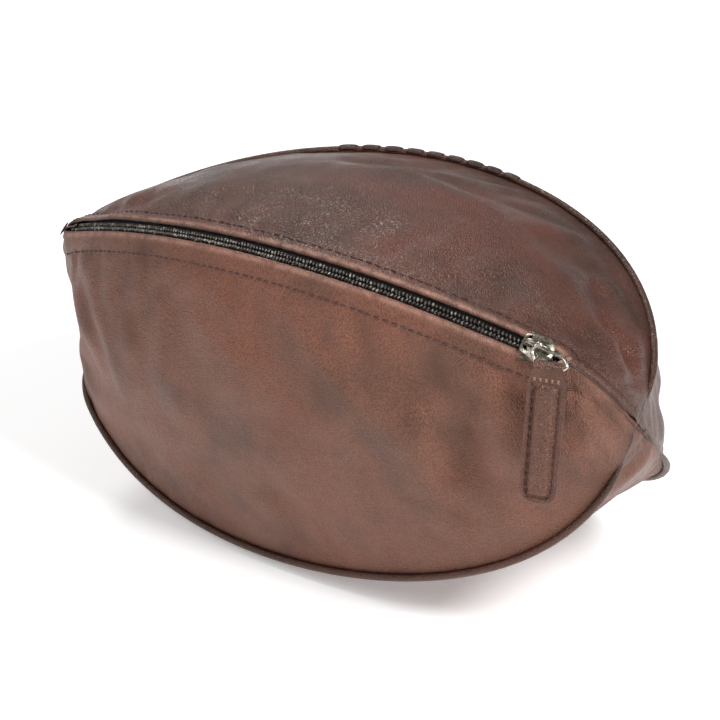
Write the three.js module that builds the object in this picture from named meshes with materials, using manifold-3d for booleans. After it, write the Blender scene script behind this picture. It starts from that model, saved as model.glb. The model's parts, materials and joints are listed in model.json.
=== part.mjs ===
// A zipped leather shaving kit bag: four pointed panels that meet at two tips, a curved zip across
// the front top edge, piped seams and a row of lace loops.
// Millimetres. +X runs along the bag, -Y is its front, +Z is up, and the origin is on the surface
// that it stands on, under the middle of its box. Shapes are worked out about the straight chord
// between the two tips, and the whole bag is moved down to its origin at the end.
import * as THREE from 'three';
import { mergeVertices } from 'three/addons/utils/BufferGeometryUtils.js';
import Module from 'manifold-3d';

const wasm = await Module();
wasm.setup();

// ---- Bag shell ----
const tipToTip = 282;
const panelBulge = 9; // how far the middle of a panel stands out of its seams
const baseBulge = 14; // the base before the floor flattens it
const topSlack = 1.05; // how much less the top swells towards the left tip
const baseSlack = 0.95; // how much less the base swells towards the right tip
const pinch = 10; // how far the left end of the front bottom seam is drawn in
const pinchTurn = 0.4; // where it is drawn in most, in radians from the left tip
const baseDrop = 6.5; // from the front bottom seam down to the floor
const leather = 1.6;
const liningCloth = 0.6;
const gap = 0.3; // left between pieces that touch
const seamMitre = 1.4; // how far a corner moves in for one unit of wall
const lipMitre = 1.05; // the same at a lip

// Each seam is an arc in a plane through the tips: angle from +Z towards +Y, reach from the chord,
// fullness (power of the sine), overhang (blunter ends) and lean (more reach at the left).
const seams = {
  backTop: { angle: 74, reach: 111.6, fullness: 1.52, overhang: 0.155, lean: 0.08 },
  backBottom: { angle: 132, reach: 149, fullness: 1.0, overhang: 0.08, lean: 0.05 },
  frontBottom: { angle: 193, reach: 100.5, fullness: 1.3, overhang: 0.26, lean: 0.18 },
};

// ---- Zip ----
const zipAngle = -38;
const zipRise = 53.5; // highest point of the zip over the chord
const zipApexX = 21;
const zipStartMargin = 16; // from the left tip to the first tooth
const zipEndMargin = 17; // from the last tooth to the right tip
const zipStartRise = 17; // rise over the chord at the first tooth
const tipSteepness = 2.2; // how steeply the zip line leaves each tip
const lipOpening = 6.4; // between the two leather lips
const lipClosing = tipToTip / 28.2; // length over which the lips close past the teeth
const tapeWidth = 12;
const tapeThickness = 0.5;
const rowWidth = 1.7;
const rowHeight = 1.8;
const rowGap = 1.6; // between the rows, for the slider's post
const toothPitch = 5;
const toothDepth = 0.7;
const lipRound = 0.35; // how far a panel rolls over the zip's corner, as a share of its width
const turnedEdgeWidth = 10;
const turnedEdge = 0.8;
const rowDepth = 0.9; // top of the teeth under the leather's face
const stopLength = 2.4;

// ---- Flap: the part of the top panel that folds back when the zip is open ----
const flapDrop = 36; // from the zip to the fold, at the middle
const flapEndDrop = 14; // the same at both ends
const flapHingeDepth = 80; // the fold turns about an axis this far under the chord

// ---- Piping, lace and thread ----
const pipingRadius = 1.5;
const pipingSteps = 40;
const pipingEndTurn = 0.36; // radians of the seam left free at each tip
const frontPipingStart = 0.64; // the same at the left of the front, past its drawn-in fold
const laceCount = 9;
const lacePitch = 9.8;
const laceLength = 7.8;
const laceFirstX = -63;
const laceThickness = 1.5;
const laceWrap = 122; // degrees each side of the seam
const threadRadius = 0.35;
const frontStitchDrop = 10;
const rearStitchDrop = 6;
const tackSize = [3.2, 6.5, 0.8];
const endTackSetback = 1.6; // from the end of the teeth back to the middle of the end tack

// ---- Slider, bail and puller ----
const sliderLength = 12;
const sliderWidth = 10.6;
const sliderTail = 7.4; // width at the narrow end
const lowerWingShare = 0.58; // width of the lower wing, between the tapes and the lining
const plateThickness = 1.4;
const plateClearance = 0.4;
const postLength = 3;
const postWidth = 1.0;
const sliderSetback = 2.2; // between the slider's nose and the stops when closed
const bridgeLength = 9;
const bridgeWidth = 2.0;
const bridgeStrap = 1.2;
const wireRadius = 0.75;
const wireRoom = 0.7; // in the bridge, beyond the wire's own thickness
const bridgeHole = 2 * wireRadius + wireRoom;
const bailReach = 6.2; // from the bridge to the bail's base, across the zip
const bailBase = 14.2;
const bailShift = 7.6; // of the base, towards the nose
const bailBaseLift = 4.7; // of the base wire over the leather's face
const wireSlack = 0.1; // more than the gap, where the wire bends round the strap
const wireSpread = 0.9; // how far the two ends of the wire part at the strap
const pullerWidth = 13.8;
const pullerNeck = 10.6;
const pullerLength = 50;
const pullerLeather = 1.5;
const pullerLean = 9; // degrees that it hangs out from the vertical
const pullerTurn = 17; // degrees that it faces towards the right end
const coreMargin = 3.2;
const stitchMargin = 2.3;

const stationPitch = 11.75; // between the steps along a panel, measured on the chord
const stationsAlong = Math.round(tipToTip / stationPitch);
const stationsAcross = 6;
const lipCrowding = 1.5; // power that draws the steps across a rolled panel towards its lip

// ---- Values worked out from the sizes above ----
const halfLength = tipToTip / 2;
const toothStartX = -halfLength + zipStartMargin;
const toothEndX = halfLength - zipEndMargin;
const arcRun = zipApexX - toothStartX;
const arcDrop = zipRise - zipStartRise;
const arcRadius = (arcRun ** 2 + arcDrop ** 2) / (2 * arcDrop);
const arcCentreRise = zipRise - arcRadius;
const tapeDepth = Math.max(rowDepth + rowHeight, leather + gap + turnedEdge) + gap;
const floorLevel = seams.frontBottom.reach * Math.cos(THREE.MathUtils.degToRad(seams.frontBottom.angle))
  - baseDrop;
const sliderRestX = toothEndX - stopLength - sliderSetback - sliderLength / 2;

const bag = new THREE.Group();

function material(color, roughness, metalness = 0) {
  return new THREE.MeshStandardMaterial({ color, roughness, metalness });
}

function add(name, geometry, finish, parent = bag) {
  const mesh = new THREE.Mesh(geometry, finish);
  mesh.name = name;
  parent.add(mesh);
  return mesh;
}

// A point in the plane at `angle` through the chord, `rise` from the chord, and `across` the plane.
function inPlane(angle, x, rise, across = 0) {
  const turn = THREE.MathUtils.degToRad(angle);
  return new THREE.Vector3(
    x,
    rise * Math.sin(turn) + across * Math.cos(turn),
    rise * Math.cos(turn) - across * Math.sin(turn),
  );
}

// Height of the zip line over the chord: a true arc along the teeth, so that the slider can turn
// about its centre, and a Hermite curve from each end of the arc down to the tip.
function zipRiseAt(x) {
  const clamped = THREE.MathUtils.clamp(x, toothStartX, toothEndX);
  const run = clamped - zipApexX;
  const arcRise = arcCentreRise + Math.sqrt(arcRadius ** 2 - run ** 2);
  if (clamped === x) {
    return arcRise;
  }
  const margin = x < 0 ? zipStartMargin : zipEndMargin;
  const share = Math.max(0, (halfLength - Math.abs(x)) / margin);
  const slope = (Math.abs(run) / Math.sqrt(arcRadius ** 2 - run ** 2)) * margin;
  const fromTip = (share ** 3 - 2 * share ** 2 + share) * tipSteepness * arcRise;
  const toArc = (3 * share ** 2 - 2 * share ** 3) * arcRise;
  return fromTip + toArc + (share ** 3 - share ** 2) * slope;
}

// Half the space between the two lips, which closes past the teeth.
function lipHalfAt(x) {
  const middle = (toothStartX + toothEndX) / 2;
  const half = (toothEndX - toothStartX) / 2 + lipClosing;
  const share = Math.min(1, Math.abs(x - middle) / half);
  return gap / 2 + (lipOpening / 2) * Math.sqrt(1 - share ** 16);
}

function zipPoint(x, across, depth) {
  return inPlane(zipAngle, x, zipRiseAt(x) - depth, across);
}

// `turn` runs from 0 at the left tip to pi at the right tip, for every seam.
function seamPoint(seam, turn) {
  const side = -Math.cos(turn);
  const drawn = (turn / pinchTurn) ** 3;
  const pinched = seam === seams.frontBottom ? pinch * drawn * Math.exp(1 - drawn) : 0;
  const x = halfLength * side * (1 + seam.overhang * Math.sin(turn) ** 2) + pinched;
  const rise = seam.reach * Math.sin(turn) ** seam.fullness * (1 - seam.lean * side);
  return inPlane(seam.angle, x, rise);
}

function turnAt(x) {
  return Math.acos(THREE.MathUtils.clamp(-x / halfLength, -1, 1));
}

function sectionCentre(turn) {
  const centre = zipPoint(-halfLength * Math.cos(turn), 0, 0);
  centre.add(seamPoint(seams.backTop, turn));
  centre.add(seamPoint(seams.backBottom, turn));
  centre.add(seamPoint(seams.frontBottom, turn));
  return centre.multiplyScalar(1 / 4);
}

// A seam corner moved in towards the middle of the section by a layer's depth.
function corner(seam, turn, depth) {
  const point = seamPoint(seam, turn);
  const inward = sectionCentre(turn).sub(point);
  const room = inward.length() / 2;
  return point.addScaledVector(inward.normalize(), Math.min(depth * seamMitre, room));
}

// A lip corner: under the lip's edge, and in towards the middle near the tips.
function lipCorner(side, turn, depth) {
  const x = -halfLength * Math.cos(turn);
  const point = zipPoint(x, side * lipHalfAt(x), 0);
  const inward = sectionCentre(turn).sub(point);
  const room = inward.length() / 2;
  return point.addScaledVector(inward.normalize(), Math.min(depth * lipMitre, room));
}

const panels = {
  front: {
    start: (turn, depth) => lipCorner(-1, turn, depth),
    end: (turn, depth) => corner(seams.frontBottom, turn, depth),
    bulge: panelBulge,
    roll: lipRound,
    slack: 0,
    slackSide: 1,
  },
  top: {
    start: (turn, depth) => lipCorner(1, turn, depth),
    end: (turn, depth) => corner(seams.backTop, turn, depth),
    bulge: panelBulge,
    roll: lipRound,
    slack: topSlack,
    slackSide: -1,
  },
  back: {
    start: (turn, depth) => corner(seams.backTop, turn, depth),
    end: (turn, depth) => corner(seams.backBottom, turn, depth),
    bulge: panelBulge,
    roll: 0,
    slack: 0,
    slackSide: 1,
  },
  base: {
    start: (turn, depth) => corner(seams.backBottom, turn, depth),
    end: (turn, depth) => corner(seams.frontBottom, turn, depth),
    bulge: baseBulge,
    roll: 0,
    slack: baseSlack,
    slackSide: 1,
  },
};

// A point on a panel, `depth` under its face. `share` runs from its start edge to its end edge.
// A panel swells most in its middle, and less towards its slack side's tip. It rolls over the corner at the zip, and
// lies flat on the floor.
function panelPoint(panel, turn, share, depth = 0) {
  const start = panel.start(turn, depth);
  const end = panel.end(turn, depth);
  const outward = start.clone().add(end).multiplyScalar(0.5).sub(sectionCentre(turn));
  const edge = end.clone().sub(start);
  outward.x = 0;
  edge.x = 0;
  edge.normalize();
  outward.addScaledVector(edge, -outward.dot(edge)).normalize();
  const roll = panel.roll * start.distanceTo(end) * share * (1 - share) ** 3;
  const point = start.lerp(end, share);
  const swell = Math.max(0, 1 - panel.slack * Math.max(0, panel.slackSide * -Math.cos(turn)));
  point.addScaledVector(outward, panel.bulge * swell * Math.sin(turn) * Math.sin(Math.PI * share));
  point.addScaledVector(inPlane(zipAngle, 0, 1), roll * Math.sin(turn));
  point.z = Math.max(point.z, floorLevel + depth);
  return point;
}

function panelWidth(panel, turn) {
  return panel.start(turn, 0).distanceTo(panel.end(turn, 0));
}

// Even steps from first to last that also stop at each value of `through`.
function stepsThrough(first, last, through, count) {
  const stops = [first, ...through, last];
  const values = [first];
  for (let i = 1; i < stops.length; i += 1) {
    const span = stops[i] - stops[i - 1];
    const steps = Math.max(1, Math.round((count * span) / (last - first)));
    for (let k = 1; k <= steps; k += 1) {
      values.push(stops[i - 1] + (span * k) / steps);
    }
  }
  return values;
}

// One closed solid from a list of stations, each with a line of points on the outer face and a
// line of as many points on the inner face.
function sheetSolid(stations) {
  const across = stations[0].outer.length;
  const positions = [];
  for (const { outer, inner } of stations) {
    for (const point of [...outer, ...inner]) {
      positions.push(point.x, point.y, point.z);
    }
  }
  const outerAt = (i, j) => i * 2 * across + j;
  const innerAt = (i, j) => outerAt(i, j) + across;
  const index = [];
  const quad = (a, b, c, d) => index.push(a, b, c, a, c, d);
  const last = stations.length - 1;
  for (let i = 0; i < last; i += 1) {
    for (let j = 0; j < across - 1; j += 1) {
      quad(outerAt(i, j), outerAt(i + 1, j), outerAt(i + 1, j + 1), outerAt(i, j + 1));
      quad(innerAt(i, j), innerAt(i, j + 1), innerAt(i + 1, j + 1), innerAt(i + 1, j));
    }
    const edge = across - 1;
    quad(outerAt(i, 0), innerAt(i, 0), innerAt(i + 1, 0), outerAt(i + 1, 0));
    quad(outerAt(i, edge), outerAt(i + 1, edge), innerAt(i + 1, edge), innerAt(i, edge));
  }
  for (let j = 0; j < across - 1; j += 1) {
    quad(outerAt(0, j), outerAt(0, j + 1), innerAt(0, j + 1), innerAt(0, j));
    quad(outerAt(last, j), innerAt(last, j), innerAt(last, j + 1), outerAt(last, j + 1));
  }
  const geometry = new THREE.BufferGeometry();
  geometry.setAttribute('position', new THREE.Float32BufferAttribute(positions, 3));
  geometry.setIndex(index);
  return facingOut(geometry);
}

// Turns a closed mesh so that its faces point outwards.
function facingOut(geometry) {
  const position = geometry.getAttribute('position');
  const index = geometry.getIndex();
  const [a, b, c] = [new THREE.Vector3(), new THREE.Vector3(), new THREE.Vector3()];
  let volume = 0;
  for (let i = 0; i < index.count; i += 3) {
    a.fromBufferAttribute(position, index.getX(i));
    b.fromBufferAttribute(position, index.getX(i + 1));
    c.fromBufferAttribute(position, index.getX(i + 2));
    volume += a.dot(b.cross(c));
  }
  if (volume < 0) {
    for (let i = 0; i < index.count; i += 3) {
      const swapped = index.getX(i + 1);
      index.setX(i + 1, index.getX(i + 2));
      index.setX(i + 2, swapped);
    }
  }
  geometry.computeVertexNormals();
  return geometry;
}

// A layer of one panel between two depths. `shares(turn)` gives where it starts and ends across
// the panel, `firstStep` leaves out the steps next to the lip, and `limit(point, turn, depth)` may
// move a point.
function panelLayer(panel, turns, shares, depths, { firstStep = 0, limit = (point) => point } = {}) {
  const crowding = panel.roll > 0 ? lipCrowding : 1;
  const stations = turns.map((turn) => {
    const [from, to] = shares(turn);
    const line = (depth) => {
      const points = [];
      for (let j = firstStep; j <= stationsAcross; j += 1) {
        const share = from + (to - from) * (j / stationsAcross) ** crowding;
        points.push(limit(panelPoint(panel, turn, share, depth), turn, depth));
      }
      return points;
    };
    return { outer: line(depths[0]), inner: line(depths[1]) };
  });
  return sheetSolid(stations);
}

// ---- Flap geometry ----
const flapFirst = turnAt(toothStartX);
const flapLast = turnAt(toothEndX);

// Share of the top panel that belongs to the flap: a D that is deepest in the middle.
function flapShare(turn) {
  const along = THREE.MathUtils.clamp((turn - flapFirst) / (flapLast - flapFirst), 0, 1);
  const drop = flapEndDrop + (flapDrop - flapEndDrop) * Math.sin(Math.PI * along) ** 0.7;
  return drop / panelWidth(panels.top, turn);
}

const flapAxis = inPlane(zipAngle, 0, -flapHingeDepth);
const flapLayers = leather + liningCloth + 2 * gap;

// Keeps the fixed leather just inside the path of the flap that folds back over it.
function underFlap(point, turn, depth) {
  if (turn < flapFirst || turn > flapLast) {
    return point;
  }
  const edge = panelPoint(panels.top, turn, flapShare(turn), 0);
  const edgeRadius = Math.hypot(edge.y - flapAxis.y, edge.z - flapAxis.z);
  const radius = Math.hypot(point.y - flapAxis.y, point.z - flapAxis.z);
  const room = edgeRadius - flapLayers - 2 * gap - depth;
  if (radius > room) {
    point.y = flapAxis.y + ((point.y - flapAxis.y) * room) / radius;
    point.z = flapAxis.z + ((point.z - flapAxis.z) * room) / radius;
  }
  return point;
}

// ---- Leather panels and their lining ----
const panelLeather = material(0x7d5a4e, 0.55);
const topLeather = material(0x64483e, 0.5);
const liningFinish = material(0x2f2622, 0.9);
const tipTurn = 0.06;
const liningTurn = 0.2;

function edgeShares(panel, turn) {
  const share = gap / 2 / panelWidth(panel, turn);
  return [share, 1 - share];
}

function lipShares(panel, turn) {
  return [0, 1 - gap / 2 / panelWidth(panel, turn)];
}

// Every layer shares these stations, so that the faces of two layers stay the same way apart.
const notchRun = 0.03; // radians over which the flap's notch opens at each end
const notchTurns = [flapFirst - notchRun, flapFirst, flapLast, flapLast + notchRun];
const wholeTurns = stepsThrough(tipTurn, Math.PI - tipTurn, notchTurns, stationsAlong);
const turnsBetween = (first, last) => wholeTurns.filter((turn) => turn >= first && turn <= last);
const liningTurns = turnsBetween(liningTurn, Math.PI - liningTurn);
const liningTop = leather + gap;
const leatherDepths = [0, leather];
const liningDepths = [liningTop, liningTop + liningCloth];

for (const name of ['back', 'base']) {
  const panel = panels[name];
  const finish = name === 'back' ? topLeather : panelLeather;
  const shares = (turn) => edgeShares(panel, turn);
  add(`${name}_panel`, panelLayer(panel, wholeTurns, shares, leatherDepths), finish);
  add(`${name}_lining`, panelLayer(panel, liningTurns, shares, liningDepths), liningFinish);
}

const frontShares = (turn) => lipShares(panels.front, turn);
add('front_panel', panelLayer(panels.front, wholeTurns, frontShares, leatherDepths), panelLeather);

// The lining of the front lies under the zip tape, and starts one step down from the lip.
const toothedTurns = turnsBetween(flapFirst, flapLast);
const underTape = tapeDepth + tapeThickness + 2 * gap;
const underTapeDepths = [underTape, underTape + liningCloth];
const frontLining = panelLayer(panels.front, toothedTurns, frontShares, underTapeDepths, {
  firstStep: 1,
});
add('front_lining', frontLining, liningFinish);

// The fixed part of the top panel is notched for the flap.
const notchShare = (turn) => {
  const inside = turn >= flapFirst && turn <= flapLast;
  return inside ? flapShare(turn) + gap / panelWidth(panels.top, turn) : 0;
};
const topShares = (turn) => [notchShare(turn), edgeShares(panels.top, turn)[1]];
const underFlapOptions = { limit: underFlap };
add('top_panel', panelLayer(panels.top, wholeTurns, topShares, leatherDepths, underFlapOptions), topLeather);
add('top_lining', panelLayer(panels.top, toothedTurns, topShares, liningDepths, underFlapOptions), liningFinish);

const flapInset = 0.004; // radians between the flap and the ends of its notch
const flapTurns = [
  flapFirst + flapInset,
  ...toothedTurns.slice(1, -1),
  flapLast - flapInset,
];
const flapShares = (turn) => [0, flapShare(turn)];
add('top_flap', panelLayer(panels.top, flapTurns, flapShares, leatherDepths), topLeather);

const flapLiningTurns = flapTurns.slice(4, -4);
const flapLining = panelLayer(panels.top, flapLiningTurns, flapShares, liningDepths, { firstStep: 4 });
add('flap_lining', flapLining, liningFinish);

// ---- Zip tapes, rows of teeth, turned edges and stops ----
const tapeFinish = material(0x241d1b, 0.85);
const toothFinish = material(0x3a3431, 0.45, 0.3);
const metalFinish = material(0x9b9588, 0.35, 0.9);
const threadFinish = material(0x3c1f19, 0.7);
const zipSides = { front: -1, rear: 1 };

// A strip along the teeth, between two distances across the zip and two depths.
function zipStrip(side, from, to, topDepth, bottomDepth, firstX, lastX, steps, notch = () => 0) {
  const stations = [];
  for (let i = 0; i <= steps; i += 1) {
    const x = firstX + ((lastX - firstX) * i) / steps;
    const inner = side * (from + notch(i));
    const point = (across, depth) => zipPoint(x, across, depth);
    stations.push({
      outer: [point(inner, topDepth), point(side * to, topDepth)],
      inner: [point(inner, bottomDepth), point(side * to, bottomDepth)],
    });
  }
  return sheetSolid(stations);
}

// The folded margin under each lip follows the panel's own face.
function turnedMargin(panel) {
  const stations = flapTurns.map((turn) => {
    const share = turnedEdgeWidth / panelWidth(panel, turn);
    const line = (depth) => [0, share].map((s) => panelPoint(panel, turn, s, depth));
    return { outer: line(liningTop), inner: line(liningTop + turnedEdge) };
  });
  return sheetSolid(stations);
}

// A tape runs from under its row of teeth to the lip, and on under the turned edge.
function zipTape(panel, side) {
  const stations = flapTurns.map((turn) => {
    const x = -halfLength * Math.cos(turn);
    const share = tapeWidth / panelWidth(panel, turn);
    const line = (depth) => [
      zipPoint(x, side * rowStart, depth),
      panelPoint(panel, turn, 0, depth),
      panelPoint(panel, turn, share, depth),
    ];
    return { outer: line(tapeDepth), inner: line(tapeDepth + tapeThickness) };
  });
  return sheetSolid(stations);
}

const rowStart = rowGap / 2;
const rowSteps = 2 * Math.floor((toothEndX - toothStartX - stopLength - gap) / toothPitch);
for (const [name, side] of Object.entries(zipSides)) {
  const panel = side < 0 ? panels.front : panels.top;
  const firstX = toothStartX + 2 * gap;
  const lastX = toothEndX - gap;
  add(`${name}_tape`, zipTape(panel, side), tapeFinish);
  const rowEndX = lastX - stopLength - gap;
  const teeth = zipStrip(side, rowStart, rowStart + rowWidth, rowDepth, rowDepth + rowHeight,
    firstX, rowEndX, rowSteps, (i) => (i % 2) * toothDepth);
  add(`${name}_teeth`, teeth, toothFinish);
  const stop = zipStrip(side, rowStart, rowStart + rowWidth, rowDepth - gap, rowDepth + rowHeight,
    rowEndX + gap, lastX, 1);
  add(`${name}_top_stop`, stop, metalFinish);
  add(`${name}_turned_edge`, turnedMargin(panel), side < 0 ? panelLeather : topLeather);
}
const bottomStopX = toothStartX - gap;
const bottomStop = zipStrip(1, -rowStart - rowWidth / 2, rowStart + rowWidth / 2, rowDepth,
  rowDepth + rowHeight, bottomStopX - stopLength, bottomStopX, 1);
add('bottom_stop', bottomStop, metalFinish);

// ---- Tubes along curves: piping, thread and wire ----
class FormulaCurve extends THREE.Curve {
  constructor(pointAt) {
    super();
    this.pointAt = pointAt;
  }

  getPoint(share, target = new THREE.Vector3()) {
    return target.copy(this.pointAt(share));
  }
}

function circle(radius, sides) {
  const shape = new THREE.Shape();
  for (let i = 0; i < sides; i += 1) {
    const turn = (2 * Math.PI * i) / sides;
    const [x, y] = [radius * Math.cos(turn), radius * Math.sin(turn)];
    if (i === 0) {
      shape.moveTo(x, y);
    } else {
      shape.lineTo(x, y);
    }
  }
  shape.closePath();
  return shape;
}

function tube(curve, radius, steps, sides = 8) {
  const settings = { steps, bevelEnabled: false, extrudePath: curve };
  return new THREE.ExtrudeGeometry(circle(radius, sides), settings);
}

// Straight out of the bag at a seam: away from the middle, square to the seam.
function outOfSeam(seam, turn) {
  const step = 0.005;
  const along = seamPoint(seam, turn + step).sub(seamPoint(seam, turn - step)).normalize();
  const outward = seamPoint(seam, turn).sub(sectionCentre(turn));
  return outward.addScaledVector(along, -outward.dot(along)).normalize();
}

function besideSeam(seam, turn, distance) {
  return seamPoint(seam, turn).addScaledVector(outOfSeam(seam, turn), distance);
}

const pipingFinish = material(0x4f3029, 0.5);
const pipingNames = { back_top_piping: 'backTop', back_bottom_piping: 'backBottom', front_piping: 'frontBottom' };
for (const [name, seamName] of Object.entries(pipingNames)) {
  const firstTurn = seamName === 'frontBottom' ? frontPipingStart : pipingEndTurn;
  const turnSpan = Math.PI - pipingEndTurn - firstTurn;
  const curve = new FormulaCurve(
    (share) => besideSeam(seams[seamName], firstTurn + turnSpan * share, pipingRadius + gap),
  );
  add(name, tube(curve, pipingRadius, pipingSteps, 6), pipingFinish);
}

// A line of thread on a panel, at a fixed distance from the zip.
function topstitch(panel, drop) {
  const span = flapLast - flapFirst - 2 * flapInset;
  const curve = new FormulaCurve((share) => {
    const turn = flapFirst + flapInset + span * share;
    return panelPoint(panel, turn, drop / panelWidth(panel, turn), -threadRadius - gap);
  });
  return tube(curve, threadRadius, 36, 4);
}

add('front_topstitch', topstitch(panels.front, frontStitchDrop), threadFinish);
add('rear_topstitch', topstitch(panels.top, rearStitchDrop), threadFinish);

// ---- Lace loops over the back top piping ----
const laceFinish = material(0x33201b, 0.6);
const laceInner = pipingRadius + gap;
const laceOuter = laceInner + laceThickness;
for (let i = 0; i < laceCount; i += 1) {
  const middle = laceFirstX + i * lacePitch;
  const stations = [-0.5, 0, 0.5].map((end) => {
    const turn = laceTurnAt(middle + end * laceLength);
    const centre = besideSeam(seams.backTop, turn, pipingRadius + gap);
    const outward = outOfSeam(seams.backTop, turn);
    const sideways = new THREE.Vector3(0, outward.z, -outward.y).normalize();
    const line = (radius) => {
      const points = [];
      for (let k = 0; k <= 6; k += 1) {
        const swing = THREE.MathUtils.degToRad(laceWrap * (k / 3 - 1));
        const point = centre.clone().addScaledVector(outward, radius * Math.cos(swing));
        points.push(point.addScaledVector(sideways, radius * Math.sin(swing)));
      }
      return points;
    };
    return { outer: line(laceOuter), inner: line(laceInner) };
  });
  add(`lace_loop_${i + 1}`, sheetSolid(stations), laceFinish);
}

// The seam's own turn at a distance along the bag, by halving.
function laceTurnAt(x) {
  let [low, high] = [0, Math.PI];
  for (let i = 0; i < 40; i += 1) {
    const middle = (low + high) / 2;
    if (seamPoint(seams.backTop, middle).x < x) {
      low = middle;
    } else {
      high = middle;
    }
  }
  return (low + high) / 2;
}

// ---- Tacks that close the seam past each end of the zip ----
// A group whose X runs along the zip, Y across it and Z out of the bag, at one place on the zip.
function zipFrame(x, depth = 0) {
  const step = 0.5;
  const along = zipPoint(x + step, 0, 0).sub(zipPoint(x - step, 0, 0)).normalize();
  const across = inPlane(zipAngle, 0, 0, 1);
  const out = along.clone().cross(across);
  const frame = new THREE.Group();
  const turned = new THREE.Matrix4().makeBasis(along, across, out);
  frame.quaternion.setFromRotationMatrix(turned);
  frame.position.copy(zipPoint(x, 0, depth));
  bag.add(frame);
  return frame;
}

const tackPlaces = { start_tack: toothStartX - lipClosing, end_tack: toothEndX - endTackSetback };
for (const [name, x] of Object.entries(tackPlaces)) {
  const tack = add(name, new THREE.BoxGeometry(...tackSize), threadFinish, zipFrame(x));
  tack.position.z = tackSize[2] / 2 + 2 * gap;
}

// ---- Slider ----
function toSolid(geometry) {
  const bare = geometry.clone();
  bare.deleteAttribute('normal');
  bare.deleteAttribute('uv');
  const merged = mergeVertices(bare, 1e-4);
  const vertProperties = new Float32Array(merged.getAttribute('position').array);
  const triVerts = new Uint32Array(merged.getIndex().array);
  return new wasm.Manifold(new wasm.Mesh({ numProp: 3, vertProperties, triVerts }));
}

function fromSolid(solid) {
  const mesh = solid.getMesh();
  const geometry = new THREE.BufferGeometry();
  geometry.setAttribute('position', new THREE.Float32BufferAttribute(mesh.vertProperties, 3));
  geometry.setIndex(Array.from(mesh.triVerts));
  geometry.computeVertexNormals();
  return geometry;
}

// A slider wing: round at the nose, narrower at the tail.
function wing(bottom, widthShare = 1) {
  const half = sliderLength / 2;
  const [nose, tail] = [(sliderWidth * widthShare) / 2, (sliderTail * widthShare) / 2];
  const shape = new THREE.Shape();
  shape.moveTo(-half, -tail);
  shape.lineTo(half / 3, -nose);
  shape.quadraticCurveTo(half, -nose, half, 0);
  shape.quadraticCurveTo(half, nose, half / 3, nose);
  shape.lineTo(-half, tail);
  shape.closePath();
  const settings = { depth: plateThickness, bevelEnabled: false, curveSegments: 5 };
  return new THREE.ExtrudeGeometry(shape, settings).translate(0, 0, bottom);
}

const slider = zipFrame(sliderRestX);
const tapeUnder = tapeDepth + tapeThickness;
const topWingUnder = plateClearance;
const topWingFace = topWingUnder + plateThickness;
const lowerWingFace = -tapeUnder - plateClearance;
const post = new THREE.BoxGeometry(postLength, postWidth, topWingUnder - lowerWingFace + plateThickness);
post.translate(sliderLength / 2 - postLength, 0, (topWingUnder + lowerWingFace) / 2);
const sliderBody = toSolid(wing(topWingUnder))
  .add(toSolid(wing(lowerWingFace - plateThickness, lowerWingShare)))
  .add(toSolid(post));
add('slider_body', fromSolid(sliderBody), metalFinish, slider);

// The bridge that the bail hangs from: an arch along the zip.
const bridgeFoot = topWingFace + gap;
const strapUnder = bridgeFoot + bridgeHole;
const strapCentre = strapUnder + bridgeStrap / 2;
function bridgeShape() {
  const [outer, inner] = [bridgeLength / 2, bridgeLength / 2 - bridgeStrap];
  const shape = new THREE.Shape();
  shape.moveTo(-outer, bridgeFoot);
  shape.lineTo(-outer, strapUnder);
  shape.quadraticCurveTo(-outer, strapUnder + bridgeStrap, -inner, strapUnder + bridgeStrap);
  shape.lineTo(inner, strapUnder + bridgeStrap);
  shape.quadraticCurveTo(outer, strapUnder + bridgeStrap, outer, strapUnder);
  shape.lineTo(outer, bridgeFoot);
  shape.lineTo(inner, bridgeFoot);
  shape.lineTo(inner, strapUnder);
  shape.lineTo(-inner, strapUnder);
  shape.lineTo(-inner, bridgeFoot);
  shape.closePath();
  return shape;
}
const bridge = new THREE.ExtrudeGeometry(bridgeShape(), {
  depth: bridgeWidth,
  bevelEnabled: false,
  curveSegments: 4,
});
bridge.translate(0, 0, -bridgeWidth / 2).rotateX(Math.PI / 2);
add('slider_bridge', bridge, metalFinish, slider);

// The bail: a split wire link that passes under and over the bridge's strap, and widens across the
// zip to a straight base, which carries the puller.
// The puller hangs straight down from a level base, whatever the slope of the zip under it.
const hangDown = new THREE.Quaternion().setFromEuler(
  new THREE.Euler(
    THREE.MathUtils.degToRad(-pullerLean),
    0,
    THREE.MathUtils.degToRad(pullerTurn),
    'ZXY',
  ),
);
const pullerQuaternion = slider.quaternion.clone().invert().multiply(hangDown);
const baseMiddle = new THREE.Vector3(bailShift, -bailReach, bailBaseLift);
const baseAlong = new THREE.Vector3(1, 0, 0).applyQuaternion(pullerQuaternion);
const onBase = (along, back = 0, up = 0) => new THREE.Vector3(0, back, up)
  .add(baseMiddle)
  .addScaledVector(baseAlong, along);

const around = bridgeHole / 2 + bridgeStrap / 2 + gap + wireSlack;
const baseHalf = bailBase / 2;
const cornerRun = 1.2;
const cornerBack = 3.1;
const splitHalf = 0.4;
const bailPoints = [
  onBase(-splitHalf),
  onBase(cornerRun - baseHalf),
  onBase(-baseHalf, cornerBack, cornerRun / 3),
  new THREE.Vector3(-wireSpread, -around - 2 * gap, strapCentre - bridgeStrap),
  new THREE.Vector3(0, 0, strapCentre - around),
  new THREE.Vector3(wireSpread / 2, around, strapCentre),
  new THREE.Vector3(wireSpread, 0, strapCentre + around),
  new THREE.Vector3(2 * wireSpread, -around - 2 * gap, strapCentre + bridgeStrap / 3),
  onBase(baseHalf, cornerBack, cornerRun / 3),
  onBase(baseHalf - cornerRun),
  onBase(splitHalf),
];
const bailCurve = new THREE.CatmullRomCurve3(bailPoints, false, 'centripetal');
add('pull_bail', tube(bailCurve, wireRadius, 44, 6), metalFinish, slider);

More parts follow.
